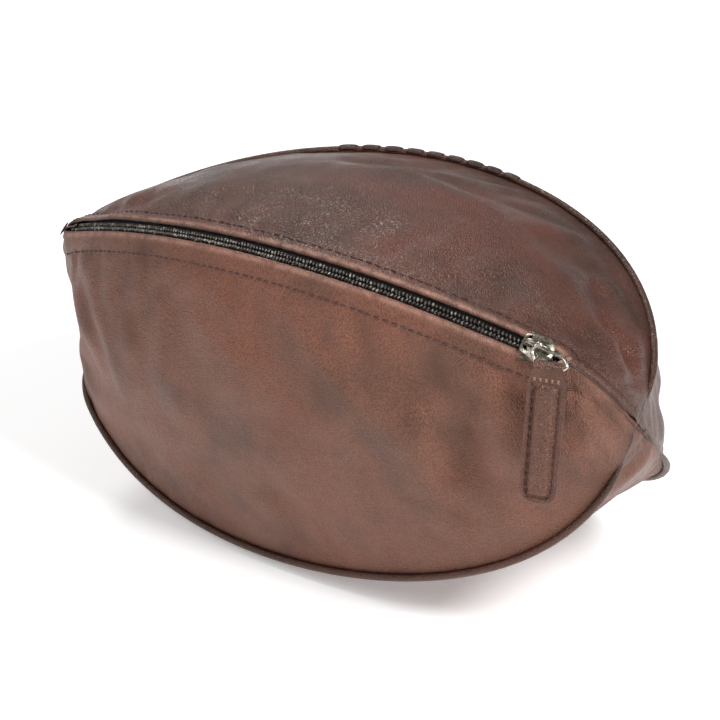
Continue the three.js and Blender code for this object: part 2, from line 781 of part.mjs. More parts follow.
// ---- Puller: leather folded over the bail's base, with a core between its two sides ----
const puller = new THREE.Group();
puller.position.copy(baseMiddle);
puller.quaternion.copy(pullerQuaternion);
slider.add(puller);

// The outline seen from the front: a neck that widens to parallel sides and a round end.
function pullerOutline(margin) {
  const half = pullerWidth / 2 - margin;
  const neck = pullerNeck / 2 - margin;
  const top = margin > 0 ? -wireRadius - 2 * pullerLeather - margin : pullerLeather * 2 + wireRadius;
  const bottom = -pullerLength + margin;
  const shape = new THREE.Shape();
  shape.moveTo(-neck, top);
  shape.lineTo(-neck, -pullerLength * 0.1 - margin);
  shape.lineTo(-half, -pullerLength * 0.3 - margin);
  shape.lineTo(-half, bottom + half * 0.8);
  shape.quadraticCurveTo(-half, bottom, 0, bottom);
  shape.quadraticCurveTo(half, bottom, half, bottom + half * 0.8);
  shape.lineTo(half, -pullerLength * 0.3 - margin);
  shape.lineTo(neck, -pullerLength * 0.1 - margin);
  shape.lineTo(neck, top);
  shape.closePath();
  return shape;
}

// An outline in the puller's plane as a slab between two distances from its middle plane.
function pullerSlab(margin, back, front) {
  const settings = { depth: front - back, bevelEnabled: false, curveSegments: 6 };
  const slab = new THREE.ExtrudeGeometry(pullerOutline(margin), settings);
  return slab.translate(0, 0, back).rotateX(Math.PI / 2);
}

// The fold seen from the side: a hairpin around the wire.
function pullerFold() {
  const inner = wireRadius + gap;
  const outer = inner + pullerLeather;
  const shape = new THREE.Shape();
  shape.moveTo(-outer, -pullerLength);
  shape.lineTo(-outer, 0);
  shape.absarc(0, 0, outer, Math.PI, 0, true);
  shape.lineTo(outer, -pullerLength);
  shape.lineTo(inner, -pullerLength);
  shape.lineTo(inner, 0);
  shape.absarc(0, 0, inner, 0, Math.PI, false);
  shape.lineTo(-inner, -pullerLength);
  shape.closePath();
  const settings = { depth: pullerWidth, bevelEnabled: false, curveSegments: 6 };
  const fold = new THREE.ExtrudeGeometry(shape, settings);
  return fold.translate(0, 0, -pullerWidth / 2).rotateX(Math.PI / 2).rotateZ(Math.PI / 2);
}

const pullerHalf = wireRadius + gap + pullerLeather;
const pullerLeatherSolid = toSolid(pullerFold())
  .intersect(toSolid(pullerSlab(0, -pullerHalf - 1, pullerHalf + 1)));
const pullerFinish = material(0x6e5348, 0.5);
add('puller_leather', fromSolid(pullerLeatherSolid), pullerFinish, puller);
add('puller_core', pullerSlab(coreMargin, -wireRadius, wireRadius), liningFinish, puller);

// The stitching around the puller's border, as one thread on its front.
const stitchFace = -pullerHalf - threadRadius - gap;
const stitchPoints = pullerOutline(stitchMargin).getPoints(6).slice(0, -1)
  .map((point) => new THREE.Vector3(point.x, stitchFace, point.y));
const stitchCurve = new THREE.CatmullRomCurve3(stitchPoints, false, 'centripetal');
add('puller_thread', tube(stitchCurve, threadRadius, 44, 4), threadFinish, puller);

// ---- Origin: on the floor, under the middle of the bag's box ----
bag.updateMatrixWorld(true);
const box = new THREE.Box3().setFromObject(bag, true);
bag.position.set(-(box.min.x + box.max.x) / 2, -(box.min.y + box.max.y) / 2, -box.min.z);

export default bag;
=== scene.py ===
"""A soft leather shaving kit bag with a curved zip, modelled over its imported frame."""
import json
import logging
import math
from dataclasses import dataclass, field
from enum import Enum

import bmesh
import bpy
import numpy as np
from mathutils import Matrix, Vector, noise


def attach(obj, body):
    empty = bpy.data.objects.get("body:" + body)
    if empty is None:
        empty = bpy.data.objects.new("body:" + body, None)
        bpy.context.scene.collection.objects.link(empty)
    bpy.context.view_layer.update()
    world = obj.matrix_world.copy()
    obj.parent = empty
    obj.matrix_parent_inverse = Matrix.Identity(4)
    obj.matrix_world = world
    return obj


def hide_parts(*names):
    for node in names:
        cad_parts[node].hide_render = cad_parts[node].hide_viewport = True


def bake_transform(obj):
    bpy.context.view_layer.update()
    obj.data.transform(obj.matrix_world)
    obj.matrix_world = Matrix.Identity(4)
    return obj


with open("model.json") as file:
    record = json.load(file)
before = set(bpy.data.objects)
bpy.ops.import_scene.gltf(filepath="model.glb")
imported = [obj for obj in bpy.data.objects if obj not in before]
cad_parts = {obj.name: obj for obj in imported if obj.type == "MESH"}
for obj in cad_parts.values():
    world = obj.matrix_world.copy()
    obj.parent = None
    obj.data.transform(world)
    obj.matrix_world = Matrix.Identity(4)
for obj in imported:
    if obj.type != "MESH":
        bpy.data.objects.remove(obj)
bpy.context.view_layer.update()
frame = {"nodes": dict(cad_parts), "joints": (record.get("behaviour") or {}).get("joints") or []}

LOG = logging.getLogger("bag")
MM = 0.001
FRONT_STITCH = 10.0
REAR_STITCH = 6.0
Colour = tuple[float, float, float]
Sockets = dict[str, object]


class Body(str, Enum):
    """The moving bodies of the frame."""

    ROOT = "root"
    FLAP = "flap"
    SLIDER = "slider"
    BAIL = "bail"
    PULLER = "puller"


# ---------------------------------------------------------------------------- finishes


class Graph:
    """A node material that is built one node at a time."""

    def __init__(self, name: str) -> None:
        """Starts a material with one Principled shader.

        Args:
            name: The material's name.
        """
        self.material = bpy.data.materials.new(name)
        self.material.use_nodes = True
        self.tree = self.material.node_tree
        self.tree.nodes.clear()
        output = self.tree.nodes.new("ShaderNodeOutputMaterial")
        self.shader = self.tree.nodes.new("ShaderNodeBsdfPrincipled")
        self.tree.links.new(self.shader.outputs["BSDF"], output.inputs["Surface"])

    def node(self, kind: str, inputs: Sockets, **settings: object) -> bpy.types.Node:
        """Adds a node.

        Args:
            kind: The node's type, without its ShaderNode prefix.
            inputs: A value or an output socket for each input, by name or number.
            settings: The node's own properties.

        Returns:
            The new node.
        """
        made = self.tree.nodes.new(f"ShaderNode{kind}")
        for key, value in settings.items():
            setattr(made, key, value)
        self.feed(made, inputs)
        return made

    def feed(self, target: bpy.types.Node, inputs: Sockets) -> None:
        """Sets or links a node's inputs.

        Args:
            target: The node.
            inputs: A value or an output socket for each input.
        """
        for key, value in inputs.items():
            socket = target.inputs[key]
            if isinstance(value, bpy.types.NodeSocket):
                self.tree.links.new(value, socket)
            else:
                socket.default_value = value

    def place(self, scale: float, stretch: Colour = (1.0, 1.0, 1.0)) -> bpy.types.NodeSocket:
        """Gives object coordinates, scaled.

        Args:
            scale: Pattern repeats to the metre.
            stretch: A factor for each axis.

        Returns:
            The vector socket.
        """
        coords = self.node("TexCoord", {})
        size = tuple(scale * part for part in stretch)
        return self.node("Mapping", {"Vector": coords.outputs["Object"], "Scale": size}).outputs[0]

    def noise(
        self, scale: float, detail: float = 3.0, stretch: Colour = (1.0, 1.0, 1.0)
    ) -> bpy.types.NodeSocket:
        """Gives a noise value.

        Args:
            scale: Pattern repeats to the metre.
            detail: Octaves.
            stretch: A factor for each axis.

        Returns:
            The value socket.
        """
        inputs = {"Vector": self.place(scale, stretch), "Scale": 1.0, "Detail": detail}
        return self.node("TexNoise", inputs).outputs["Fac"]

    def ramp(
        self, value: object, low: float, high: float, start: float = 0.0, end: float = 1.0
    ) -> bpy.types.NodeSocket:
        """Maps a value smoothly from one range to another.

        Args:
            value: The socket to map.
            low: Where the input range starts.
            high: Where the input range ends.
            start: The output at low.
            end: The output at high.

        Returns:
            The mapped socket.
        """
        inputs = {"Value": value, 1: low, 2: high, 3: start, 4: end}
        return self.node("MapRange", inputs, interpolation_type="SMOOTHSTEP").outputs[0]

    def mix(self, factor: object, first: object, second: object, blend: str = "MIX") -> bpy.types.NodeSocket:
        """Mixes two colours.

        Args:
            factor: The share of the second colour.
            first: A colour or a socket.
            second: A colour or a socket.
            blend: The blend mode.

        Returns:
            The colour socket.
        """
        made = self.node("Mix", {}, data_type="RGBA", blend_type=blend)
        sides = [opaque(side) if isinstance(side, tuple) else side for side in (first, second)]
        self.feed(made, {0: factor, 6: sides[0], 7: sides[1]})
        return made.outputs[2]

    def attribute(self, name: str) -> bpy.types.NodeSocket:
        """Reads a value stored on the mesh.

        Args:
            name: The attribute's name.

        Returns:
            The value socket, 0 where the mesh has no such attribute.
        """
        return self.node("Attribute", {}, attribute_name=name).outputs["Fac"]

    def math(self, operation: str, first: object, second: object = 0.0) -> bpy.types.NodeSocket:
        """Combines two values.

        Args:
            operation: The Math node's operation.
            first: A number or a socket.
            second: A number or a socket.

        Returns:
            The result's socket.
        """
        return self.node("Math", {0: first, 1: second}, operation=operation).outputs[0]

    def relief(self, height: bpy.types.NodeSocket, depth: float, strength: float = 1.0) -> None:
        """Adds a bump to the shader, over any bump it already has.

        Args:
            height: The height socket, from 0 to 1.
            depth: Depth of the relief in metres.
            strength: Share of the full effect.
        """
        inputs: Sockets = {"Height": height, "Distance": depth, "Strength": strength}
        links = self.shader.inputs["Normal"].links
        if links:
            inputs["Normal"] = links[0].from_socket
        bump = self.node("Bump", inputs)
        self.tree.links.new(bump.outputs["Normal"], self.shader.inputs["Normal"])


def opaque(colour: Colour) -> tuple[float, float, float, float]:
    """Adds full opacity to a colour.

    Args:
        colour: Linear red, green and blue.

    Returns:
        The same with 1 as its alpha.
    """
    return (*colour, 1.0)


@dataclass(frozen=True)
class Leather:
    """Pebbled leather with patches, painted shade along the seams and worn lips."""

    name: str
    base: Colour
    dark: Colour
    patch: Colour
    worn: Colour = (0.4, 0.22, 0.165)
    roughness: float = 0.46
    grain: float = 1500.0
    grain_depth: float = 0.00024
    patchiness: float = 0.7

    def material(self) -> bpy.types.Material:
        """Builds the node material.

        Returns:
            The material.
        """
        graph = Graph(self.name)
        patches = graph.ramp(graph.noise(16.0, 5.0), 0.42, 0.64)
        clouds = graph.ramp(graph.noise(55.0, 4.0), 0.35, 0.7)
        speckle = graph.ramp(graph.noise(900.0, 2.0), 0.35, 0.75)
        wobble = graph.noise(420.0, 2.0)
        spot = graph.node("VectorMath", {0: graph.place(self.grain), 1: wobble}, operation="ADD")
        cell = graph.node("TexVoronoi", {"Vector": spot.outputs[0], "Scale": 1.0}, feature="F1")
        pebble = graph.ramp(cell.outputs["Distance"], 0.15, 0.75, 1.0, 0.0)
        colour = graph.mix(clouds, self.base, self.dark)
        colour = graph.mix(graph.math("MULTIPLY", patches, self.patchiness), colour, self.patch)
        colour = graph.mix(graph.math("MULTIPLY", speckle, 0.28), colour, self.dark)
        colour = graph.mix(graph.ramp(pebble, 0.0, 0.6, 0.4, 0.0), colour, (0.022, 0.009, 0.007))
        # Painted shade: the edge mask darkens the leather along the seams and at the lip's turned-under
        # edge.
        edge = graph.attribute("edge")
        colour = graph.mix(graph.math("MULTIPLY", edge, 0.55), colour, (0.03, 0.012, 0.009))
        # Rubbed wear along the lips.
        rub_and_glint = graph.attribute("worn")
        worn = graph.math("MULTIPLY", rub_and_glint, graph.ramp(graph.noise(240.0, 3.0), 0.3, 0.6, 0.35, 1.0))
        colour = graph.mix(worn, colour, self.worn)
        gloss = graph.ramp(graph.noise(38.0, 3.0), 0.3, 0.7, self.roughness - 0.09, self.roughness + 0.09)
        shine = graph.math("SUBTRACT", gloss, graph.math("MULTIPLY", pebble, 0.05))
        surface = {
            "Base Color": colour,
            "Roughness": shine,
            "Specular IOR Level": 0.5,
            "Specular Tint": opaque((1.0, 0.82, 0.7)),
            "IOR": 1.5,
        }
        graph.feed(graph.shader, surface)
        graph.relief(graph.noise(120.0, 5.0, (1.0, 1.3, 0.8)), 0.0009, 0.6)
        bent = graph.node("VectorMath", {0: graph.place(330.0), 1: graph.noise(150.0, 3.0)}, operation="ADD")
        web = graph.node("TexVoronoi", {"Vector": bent.outputs[0], "Scale": 1.0}, feature="DISTANCE_TO_EDGE")
        crinkle = graph.ramp(web.outputs["Distance"], 0.0, 0.16)
        crinkled = graph.math("MULTIPLY", crinkle, graph.ramp(graph.noise(24.0, 3.0), 0.4, 0.62))
        graph.relief(crinkled, 0.00016, 0.7)
        graph.relief(pebble, self.grain_depth, 0.75)
        graph.relief(graph.noise(3600.0, 2.0), 0.00008, 0.5)
        return graph.material


@dataclass(frozen=True)
class Metal:
    """Plated metal, worn bright where it is handled."""

    name: str
    bright: Colour
    dull: Colour
    roughness: float = 0.3

    def material(self) -> bpy.types.Material:
        """Builds the node material.

        Returns:
            The material.
        """
        graph = Graph(self.name)
        tarnish = graph.ramp(graph.noise(480.0, 4.0), 0.42, 0.66)
        colour = graph.mix(tarnish, self.bright, self.dull)
        rough = graph.ramp(graph.noise(900.0, 3.0), 0.3, 0.7, self.roughness - 0.08, self.roughness + 0.14)
        graph.feed(graph.shader, {"Base Color": colour, "Metallic": 1.0, "Roughness": rough})
        graph.relief(graph.noise(2600.0, 2.0), 0.00004, 0.4)
        return graph.material


@dataclass(frozen=True)
class Woven:
    """Plain woven cloth, tape or twisted thread."""

    name: str
    warp: Colour
    weft: Colour
    pitch: float = 1800.0
    roughness: float = 0.85
    relief: float = 0.00012

    def material(self) -> bpy.types.Material:
        """Builds the node material.

        Returns:
            The material.
        """
        graph = Graph(self.name)
        waves = {"Scale": 1.0, "Distortion": 1.2, "Detail": 1.0}
        along = graph.node("TexWave", {"Vector": graph.place(self.pitch), **waves}, bands_direction="X")
        across = graph.node("TexWave", {"Vector": graph.place(self.pitch), **waves}, bands_direction="Z")
        weave = graph.math("MULTIPLY", along.outputs["Fac"], across.outputs["Fac"])
        colour = graph.mix(weave, self.weft, self.warp)
        colour = graph.mix(graph.ramp(graph.noise(70.0), 0.3, 0.8, 0.0, 0.4), colour, self.weft)
        graph.feed(graph.shader, {"Base Color": colour, "Roughness": self.roughness, "Sheen Weight": 0.15})
        graph.relief(weave, self.relief, 0.7)
        return graph.material


@dataclass(frozen=True)
class Polymer:
    """Moulded plastic for the zip's teeth and glazed thread, with lighter specks: painted glints on the
    teeth and rubbed spots on the threads.
    """

    name: str
    base: Colour
    rub_and_glint: Colour
    roughness: float = 0.3

    def material(self) -> bpy.types.Material:
        """Builds the node material.

        Returns:
            The material.
        """
        graph = Graph(self.name)
        # Lighter specks: painted glints on the teeth, rubbed spots on the threads.
        rub_and_glint = graph.ramp(graph.noise(700.0, 2.0), 0.5, 0.72)
        colour = graph.mix(rub_and_glint, self.base, self.rub_and_glint)
        rough = graph.ramp(graph.noise(300.0, 2.0), 0.3, 0.7, self.roughness, self.roughness + 0.2)
        graph.feed(graph.shader, {"Base Color": colour, "Roughness": rough, "Specular IOR Level": 0.6})
        graph.relief(graph.noise(2400.0, 2.0), 0.00005, 0.5)
        return graph.material


FRONT_LEATHER = Leather("panel_leather", (0.185, 0.075, 0.048), (0.108, 0.044, 0.028), (0.22, 0.078, 0.048))
TOP_LEATHER = Leather(
    "top_leather",
    (0.088, 0.034, 0.023),
    (0.05, 0.02, 0.014),
    (0.135, 0.04, 0.026),
    roughness=0.38,
)
PIPING_LEATHER = Leather(
    "piping_leather",
    (0.07, 0.03, 0.022),
    (0.04, 0.018, 0.013),
    (0.1, 0.038, 0.027),
    roughness=0.36,
)
LACE_LEATHER = Leather(
    "lace_leather",
    (0.034, 0.016, 0.013),
    (0.02, 0.01, 0.008),
    (0.05, 0.02, 0.016),
    roughness=0.44,
)
PULLER_LEATHER = Leather(
    "puller_leather",
    (0.125, 0.056, 0.04),
    (0.075, 0.033, 0.024),
    (0.15, 0.06, 0.042),
    roughness=0.27,
)
LINING = Woven("lining_cloth", (0.062, 0.052, 0.045), (0.03, 0.025, 0.022), 1300.0)
TAPE = Woven("zip_tape", (0.022, 0.015, 0.013), (0.009, 0.007, 0.006), 1500.0)
DARK_THREAD = Polymer("thread", (0.05, 0.015, 0.011), (0.09, 0.028, 0.02), 0.45)
TAN_THREAD = Polymer("tack_thread", (0.27, 0.145, 0.09), (0.36, 0.21, 0.14), 0.6)
# The teeth's second colour is a pale grey for painted glints on the coil.
TEETH = Polymer("zip_teeth", (0.02, 0.014, 0.012), (0.34, 0.3, 0.25), 0.26)
NICKEL = Metal("slider_metal", (0.36, 0.325, 0.265), (0.13, 0.11, 0.085), 0.3)
BRIGHT = Metal("bail_metal", (0.5, 0.465, 0.4), (0.24, 0.21, 0.17), 0.22)


# ---------------------------------------------------------------------------- the bag's form


@dataclass(frozen=True)
class Seam:
    """An arc in a plane through both tips of the bag, in millimetres and degrees."""

    angle: float
    reach: float
    fullness: float
    overhang: float
    lean: float


class Panel(str, Enum):
    """The four leather panels."""

    FRONT = "front"
    TOP = "top"
    BACK = "back"
    BASE = "base"


@dataclass
class Form:
    """The bag's shape as formulas, in millimetres about the chord between its tips."""

    half_length: float = 141.0
    back_top: Seam = Seam(74.0, 111.6, 1.52, 0.155, 0.08)
    back_bottom: Seam = Seam(132.0, 149.0, 1.0, 0.08, 0.05)
    front_bottom: Seam = Seam(193.0, 100.5, 1.3, 0.26, 0.18)
    panel_bulge: float = 9.0
    base_bulge: float = 14.0
    base_drop: float = 6.5
    zip_angle: float = -38.0
    zip_rise: float = 53.5
    apex_x: float = 21.0
    start_margin: float = 16.0
    end_margin: float = 17.0
    start_rise: float = 17.0
    tip_steepness: float = 2.2
    lip_opening: float = 5.6
    start_closing: float = 10.0
    end_closing: float = 0.5
    lip_round: float = 0.35
    pinch: float = 10.0
    pinch_turn: float = 0.4
    top_slack: float = 1.05
    base_slack: float = 1.6
    back_slack: float = 1.0
    gap: float = 0.3
    hinge_depth: float = 80.0

    def __post_init__(self) -> None:
        """Works out the arc of the teeth and where the chord lies in the frame."""
        self.first_x = -self.half_length + self.start_margin
        self.last_x = self.half_length - self.end_margin
        run = self.apex_x - self.first_x
        drop = self.zip_rise - self.start_rise
        self.radius = (run**2 + drop**2) / (2 * drop)
        self.centre_rise = self.zip_rise - self.radius
        lowest = self.front_bottom.reach * math.cos(math.radians(self.front_bottom.angle))
        self.floor = lowest - self.base_drop
        hinge = next(joint for joint in frame["joints"] if joint["name"] == "flap_open")
        self.origin = Vector(hinge["pos_m"]) / MM - self.in_plane(self.zip_angle, 0.0, -self.hinge_depth)

    def in_plane(self, angle: float, x: float, rise: float, across: float = 0.0) -> Vector:
        """Gives a point in a plane through the chord.

        Args:
            angle: The plane's angle from +Z towards +Y, in degrees.
            x: Distance along the chord.
            rise: Distance from the chord.
            across: Distance across the plane.

        Returns:
            The point.
        """
        turn = math.radians(angle)
        sine, cosine = math.sin(turn), math.cos(turn)
        return Vector((x, rise * sine + across * cosine, rise * cosine - across * sine))

    def zip_height(self, x: float) -> float:
        """Gives the height of the zip line over the chord.

        Args:
            x: Distance along the chord.

        Returns:
            The height.
        """
        clamped = min(max(x, self.first_x), self.last_x)
        run = clamped - self.apex_x
        level = math.sqrt(self.radius**2 - run**2)
        arc = self.centre_rise + level
        if clamped == x:
            return arc
        margin = self.start_margin if x < 0 else self.end_margin
        share = max(0.0, (self.half_length - abs(x)) / margin)
        slope = abs(run) / level * margin
        from_tip = (share**3 - 2 * share**2 + share) * self.tip_steepness * arc
        return from_tip + (3 * share**2 - 2 * share**3) * arc + (share**3 - share**2) * slope

    def lip_half(self, x: float) -> float:
        """Gives half the space between the lips.

        Args:
            x: Distance along the chord.

        Returns:
            The half space.
        """
        first, last = self.first_x - self.start_closing, self.last_x + self.end_closing
        share = min(1.0, abs(x - (first + last) / 2) / ((last - first) / 2))
        return self.gap / 2 + self.lip_opening / 2 * math.sqrt(1 - share**22)

    def zip_point(self, x: float, across: float = 0.0, depth: float = 0.0) -> Vector:
        """Gives a point beside the zip.

        Args:
            x: Distance along the chord.
            across: Distance across the zip, to the rear.
            depth: Distance under the leather's face.

        Returns:
            The point.
        """
        return self.in_plane(self.zip_angle, x, self.zip_height(x) - depth, across)

    def seam_point(self, seam: Seam, turn: float) -> Vector:
        """Gives a point on a seam.

        Args:
            seam: The seam.
            turn: 0 at the left tip to pi at the right one.

        Returns:
            The point.
        """
        side = -math.cos(turn)
        sine = max(0.0, math.sin(turn))
        x = self.half_length * side * (1 + seam.overhang * sine**2)
        if seam is self.front_bottom:
            drawn = (turn / self.pinch_turn) ** 3
            x += self.pinch * drawn * math.exp(1 - drawn)
        return self.in_plane(seam.angle, x, seam.reach * sine**seam.fullness * (1 - seam.lean * side))

    def centre(self, turn: float) -> Vector:
        """Gives the middle of a cross section.

        Args:
            turn: The section's turn.

        Returns:
            The point.
        """
        total = self.zip_point(-self.half_length * math.cos(turn))
        for seam in (self.back_top, self.back_bottom, self.front_bottom):
            total = total + self.seam_point(seam, turn)
        return total / 4

    def lip_point(self, side: int, turn: float) -> Vector:
        """Gives a point on a lip of the zip.

        Args:
            side: -1 for the front lip, 1 for the rear lip.
            turn: The section's turn.

        Returns:
            The point.
        """
        x = -self.half_length * math.cos(turn)
        return self.zip_point(x, side * self.lip_half(x))

    def edges(self, panel: Panel, turn: float) -> tuple[Vector, Vector]:
        """Gives both edges of a panel.

        Args:
            panel: The panel.
            turn: The section's turn.

        Returns:
            The start and the end edge.
        """
        if panel is Panel.FRONT:
            return self.lip_point(-1, turn), self.seam_point(self.front_bottom, turn)
        if panel is Panel.TOP:
            return self.lip_point(1, turn), self.seam_point(self.back_top, turn)
        if panel is Panel.BACK:
            return self.seam_point(self.back_top, turn), self.seam_point(self.back_bottom, turn)
        return self.seam_point(self.back_bottom, turn), self.seam_point(self.front_bottom, turn)

    def panel_point(self, panel: Panel, turn: float, share: float) -> Vector:
        """Gives a point on a panel's face.

        Args:
            panel: The panel.
            turn: The section's turn.
            share: 0 at its start edge to 1 at its end edge.

        Returns:
            The point.
        """
        start, end = self.edges(panel, turn)
        outward = (start + end) / 2 - self.centre(turn)
        edge = end - start
        outward.x = 0.0
        edge.x = 0.0
        edge.normalize()
        outward = (outward - edge * outward.dot(edge)).normalized()
        bulge = self.base_bulge if panel is Panel.BASE else self.panel_bulge
        sine = math.sin(turn)
        if panel is Panel.TOP:
            bulge *= max(0.0, 1 - self.top_slack * max(0.0, math.cos(turn)))
        if panel is Panel.BASE:
            bulge *= 1 - self.base_slack * max(0.0, -math.cos(turn))
        if panel is Panel.BACK:
            bulge *= max(0.0, 1 - self.back_slack * max(0.0, -math.cos(turn)))
        point = start.lerp(end, share) + outward * (bulge * sine * math.sin(math.pi * share))
        if panel in (Panel.FRONT, Panel.TOP):
            roll = self.lip_round * (end - start).length * share * (1 - share) ** 3
            point = point + self.in_plane(self.zip_angle, 0.0, 1.0) * (roll * sine)
        point.z = max(point.z, self.floor)
        return point

    def turn_at(self, x: float) -> float:
        """Gives the turn of the section at a distance along the chord.

        Args:
            x: Distance along the chord.

        Returns:
            The turn.
        """
        return math.acos(min(max(-x / self.half_length, -1.0), 1.0))

    def zip_frame(self, x: float, depth: float = 0.0) -> Matrix:
        """Gives axes along the zip, across it to the rear, and out of the bag.

        Args:
            x: Distance along the chord.
            depth: Distance under the leather's face.

        Returns:
            The matrix, in millimetres about the chord.
        """
        along = (self.zip_point(x + 0.5) - self.zip_point(x - 0.5)).normalized()
        across = self.in_plane(self.zip_angle, 0.0, 0.0, 1.0)
        out = along.cross(across)
        turned = Matrix((along, across, out)).transposed().to_4x4()
        return Matrix.Translation(self.zip_point(x, 0.0, depth)) @ turned

    def metres(self, point: Vector) -> Vector:
        """Turns millimetres about the chord into the frame's metres.

        Args:
            point: The point.

        Returns:
            The point in the frame.
        """
        return (Vector(point) + self.origin) * MM

    def to_frame(self) -> Matrix:
        """Gives the matrix from millimetres about the chord to the frame's metres.

        Returns:
            The matrix.
        """
        return Matrix.Scale(MM, 4) @ Matrix.Translation(self.origin)


# ---------------------------------------------------------------------------- mesh helpers


def finished(
    name: str, shape: bmesh.types.BMesh, finish: bpy.types.Material, smooth: bool = True
) -> bpy.types.Object:
    """Turns a bmesh into an object at the origin.

    Args:
        name: The piece's name.
        shape: Its shape, in the frame's metres, which is freed.
        finish: Its material.
        smooth: Whether its faces are shaded smooth.

    Returns:
        The object.
    """
    mesh = bpy.data.meshes.new(name)
    shape.to_mesh(mesh)
    shape.free()
    mesh.materials.append(finish)
    mesh.polygons.foreach_set("use_smooth", [smooth] * len(mesh.polygons))
    piece = bpy.data.objects.new(name, mesh)
    bpy.context.collection.objects.link(piece)
    LOG.info("%s: %d faces", name, len(mesh.polygons))
    return piece


def subdivide(piece: bpy.types.Object, levels: int = 1) -> None:
    """Adds a subdivision surface.

    Args:
        piece: The piece.
        levels: Its levels.
    """
    made = piece.modifiers.new("Smooth", "SUBSURF")
    made.levels = levels
    made.render_levels = levels


def thicken(piece: bpy.types.Object, thickness: float) -> None:
    """Gives a sheet its wall, inwards.

    Args:
        piece: The piece.
        thickness: The wall in millimetres.
    """
    made = piece.modifiers.new("Wall", "SOLIDIFY")
    made.thickness = thickness * MM
    made.offset = -1.0


def grid(name: str, points: np.ndarray, form: Form, finish: bpy.types.Material) -> bpy.types.Object:
    """Makes a sheet through a grid of points.

    Args:
        name: The piece's name.
        points: Points in millimetres about the chord, rows by columns by 3.
        form: The bag's form.
        finish: Its material.

    Returns:
        The object, facing the way that rows cross columns.
    """
    rows, columns = points.shape[:2]
    shape = bmesh.new()
    bmesh.ops.create_grid(shape, x_segments=rows - 1, y_segments=columns - 1, size=1.0)
    for vertex in shape.verts:
        i = round((vertex.co.x + 1) / 2 * (rows - 1))
        j = round((vertex.co.y + 1) / 2 * (columns - 1))
        vertex.co = form.metres(points[i, j])
    return finished(name, shape, finish)


def run_across(points: np.ndarray) -> np.ndarray:
    """Measures how far each point of a grid lies from the start of its row.

    Args:
        points: A grid of points.

    Returns:
        The distances along the rows.
    """
    steps = np.linalg.norm(points[:, 1:] - points[:, :-1], axis=2)
    return np.concatenate([np.zeros((len(points), 1)), steps.cumsum(axis=1)], axis=1)


def store(piece: bpy.types.Object, name: str, values: np.ndarray) -> None:
    """Stores one value for each point of a mesh.

    Args:
        piece: The piece.
        name: The attribute's name.
        values: The values.
    """
    made = piece.data.attributes.new(name, "FLOAT", "POINT")
    made.data.foreach_set("value", np.asarray(values, dtype=np.float32).ravel())


def rod(
    name: str,
    points: list[Vector],
    radii: list[float],
    form: Form,
    finish: bpy.types.Material,
    sides: int = 4,
) -> bpy.types.Object:
    """Makes a round rod along a line of points.

    Args:
        name: The piece's name.
        points: Points in millimetres about the chord.
        radii: Its radius at each point.
        form: The bag's form.
        finish: Its material.
        sides: A quarter of the faces round it, roughly.

    Returns:
        The object.
    """
    curve = bpy.data.curves.new(name, "CURVE")
    curve.dimensions = "3D"
    curve.bevel_depth = MM
    curve.bevel_resolution = sides
    curve.use_fill_caps = True
    spline = curve.splines.new("POLY")
    spline.points.add(len(points) - 1)
    for target, point, radius in zip(spline.points, points, radii):
        target.co = (*form.metres(point), 1.0)
        target.radius = radius
    holder = bpy.data.objects.new(name, curve)
    bpy.context.collection.objects.link(holder)
    bpy.context.view_layer.update()
    made = bpy.data.meshes.new_from_object(holder.evaluated_get(bpy.context.evaluated_depsgraph_get()))
    bpy.data.objects.remove(holder)
    bpy.data.curves.remove(curve)
    shape = bmesh.new()
    shape.from_mesh(made)
    bpy.data.meshes.remove(made)
    bmesh.ops.remove_doubles(shape, verts=shape.verts, dist=MM / 1000)
    bmesh.ops.recalc_face_normals(shape, faces=shape.faces)
    return finished(name, shape, finish)


def blobs(
    name: str, matrices: list[Matrix], form: Form, finish: bpy.types.Material, segments: int = 8
) -> bpy.types.Object:
    """Makes many small round grains as one piece.

    Args:
        name: The piece's name.
        matrices: Where each unit ball goes, in millimetres about the chord.
        form: The bag's form.
        finish: Its material.
        segments: Faces round each.

    Returns:
        The object.
    """
    shape = bmesh.new()
    for matrix in matrices:
        bmesh.ops.create_uvsphere(
            shape, u_segments=segments, v_segments=5, radius=1.0, matrix=form.to_frame() @ matrix
        )
    return finished(name, shape, finish)


def axes(point: Vector, along: Vector, out: Vector, size: Vector) -> Matrix:
    """Gives the matrix of a grain that lies along a line on a surface.

    Args:
        point: Its middle.
        along: Its long direction.
        out: Out of the surface.
        size: Its half size along, across and out.

    Returns:
        The matrix.
    """
    first = along.normalized()
    across = out.cross(first).normalized()
    third = first.cross(across)
    turned = Matrix((first, across, third)).transposed().to_4x4()
    return Matrix.Translation(point) @ turned @ Matrix.Diagonal((*size, 1.0))


# ---------------------------------------------------------------------------- leather shell


@dataclass(frozen=True)
class Crease:
    """A fold or a dent along a line on a panel: turn and share of both ends, in millimetres across."""

    panel: Panel
    start: tuple[float, float]
    end: tuple[float, float]
    width: float
    depth: float


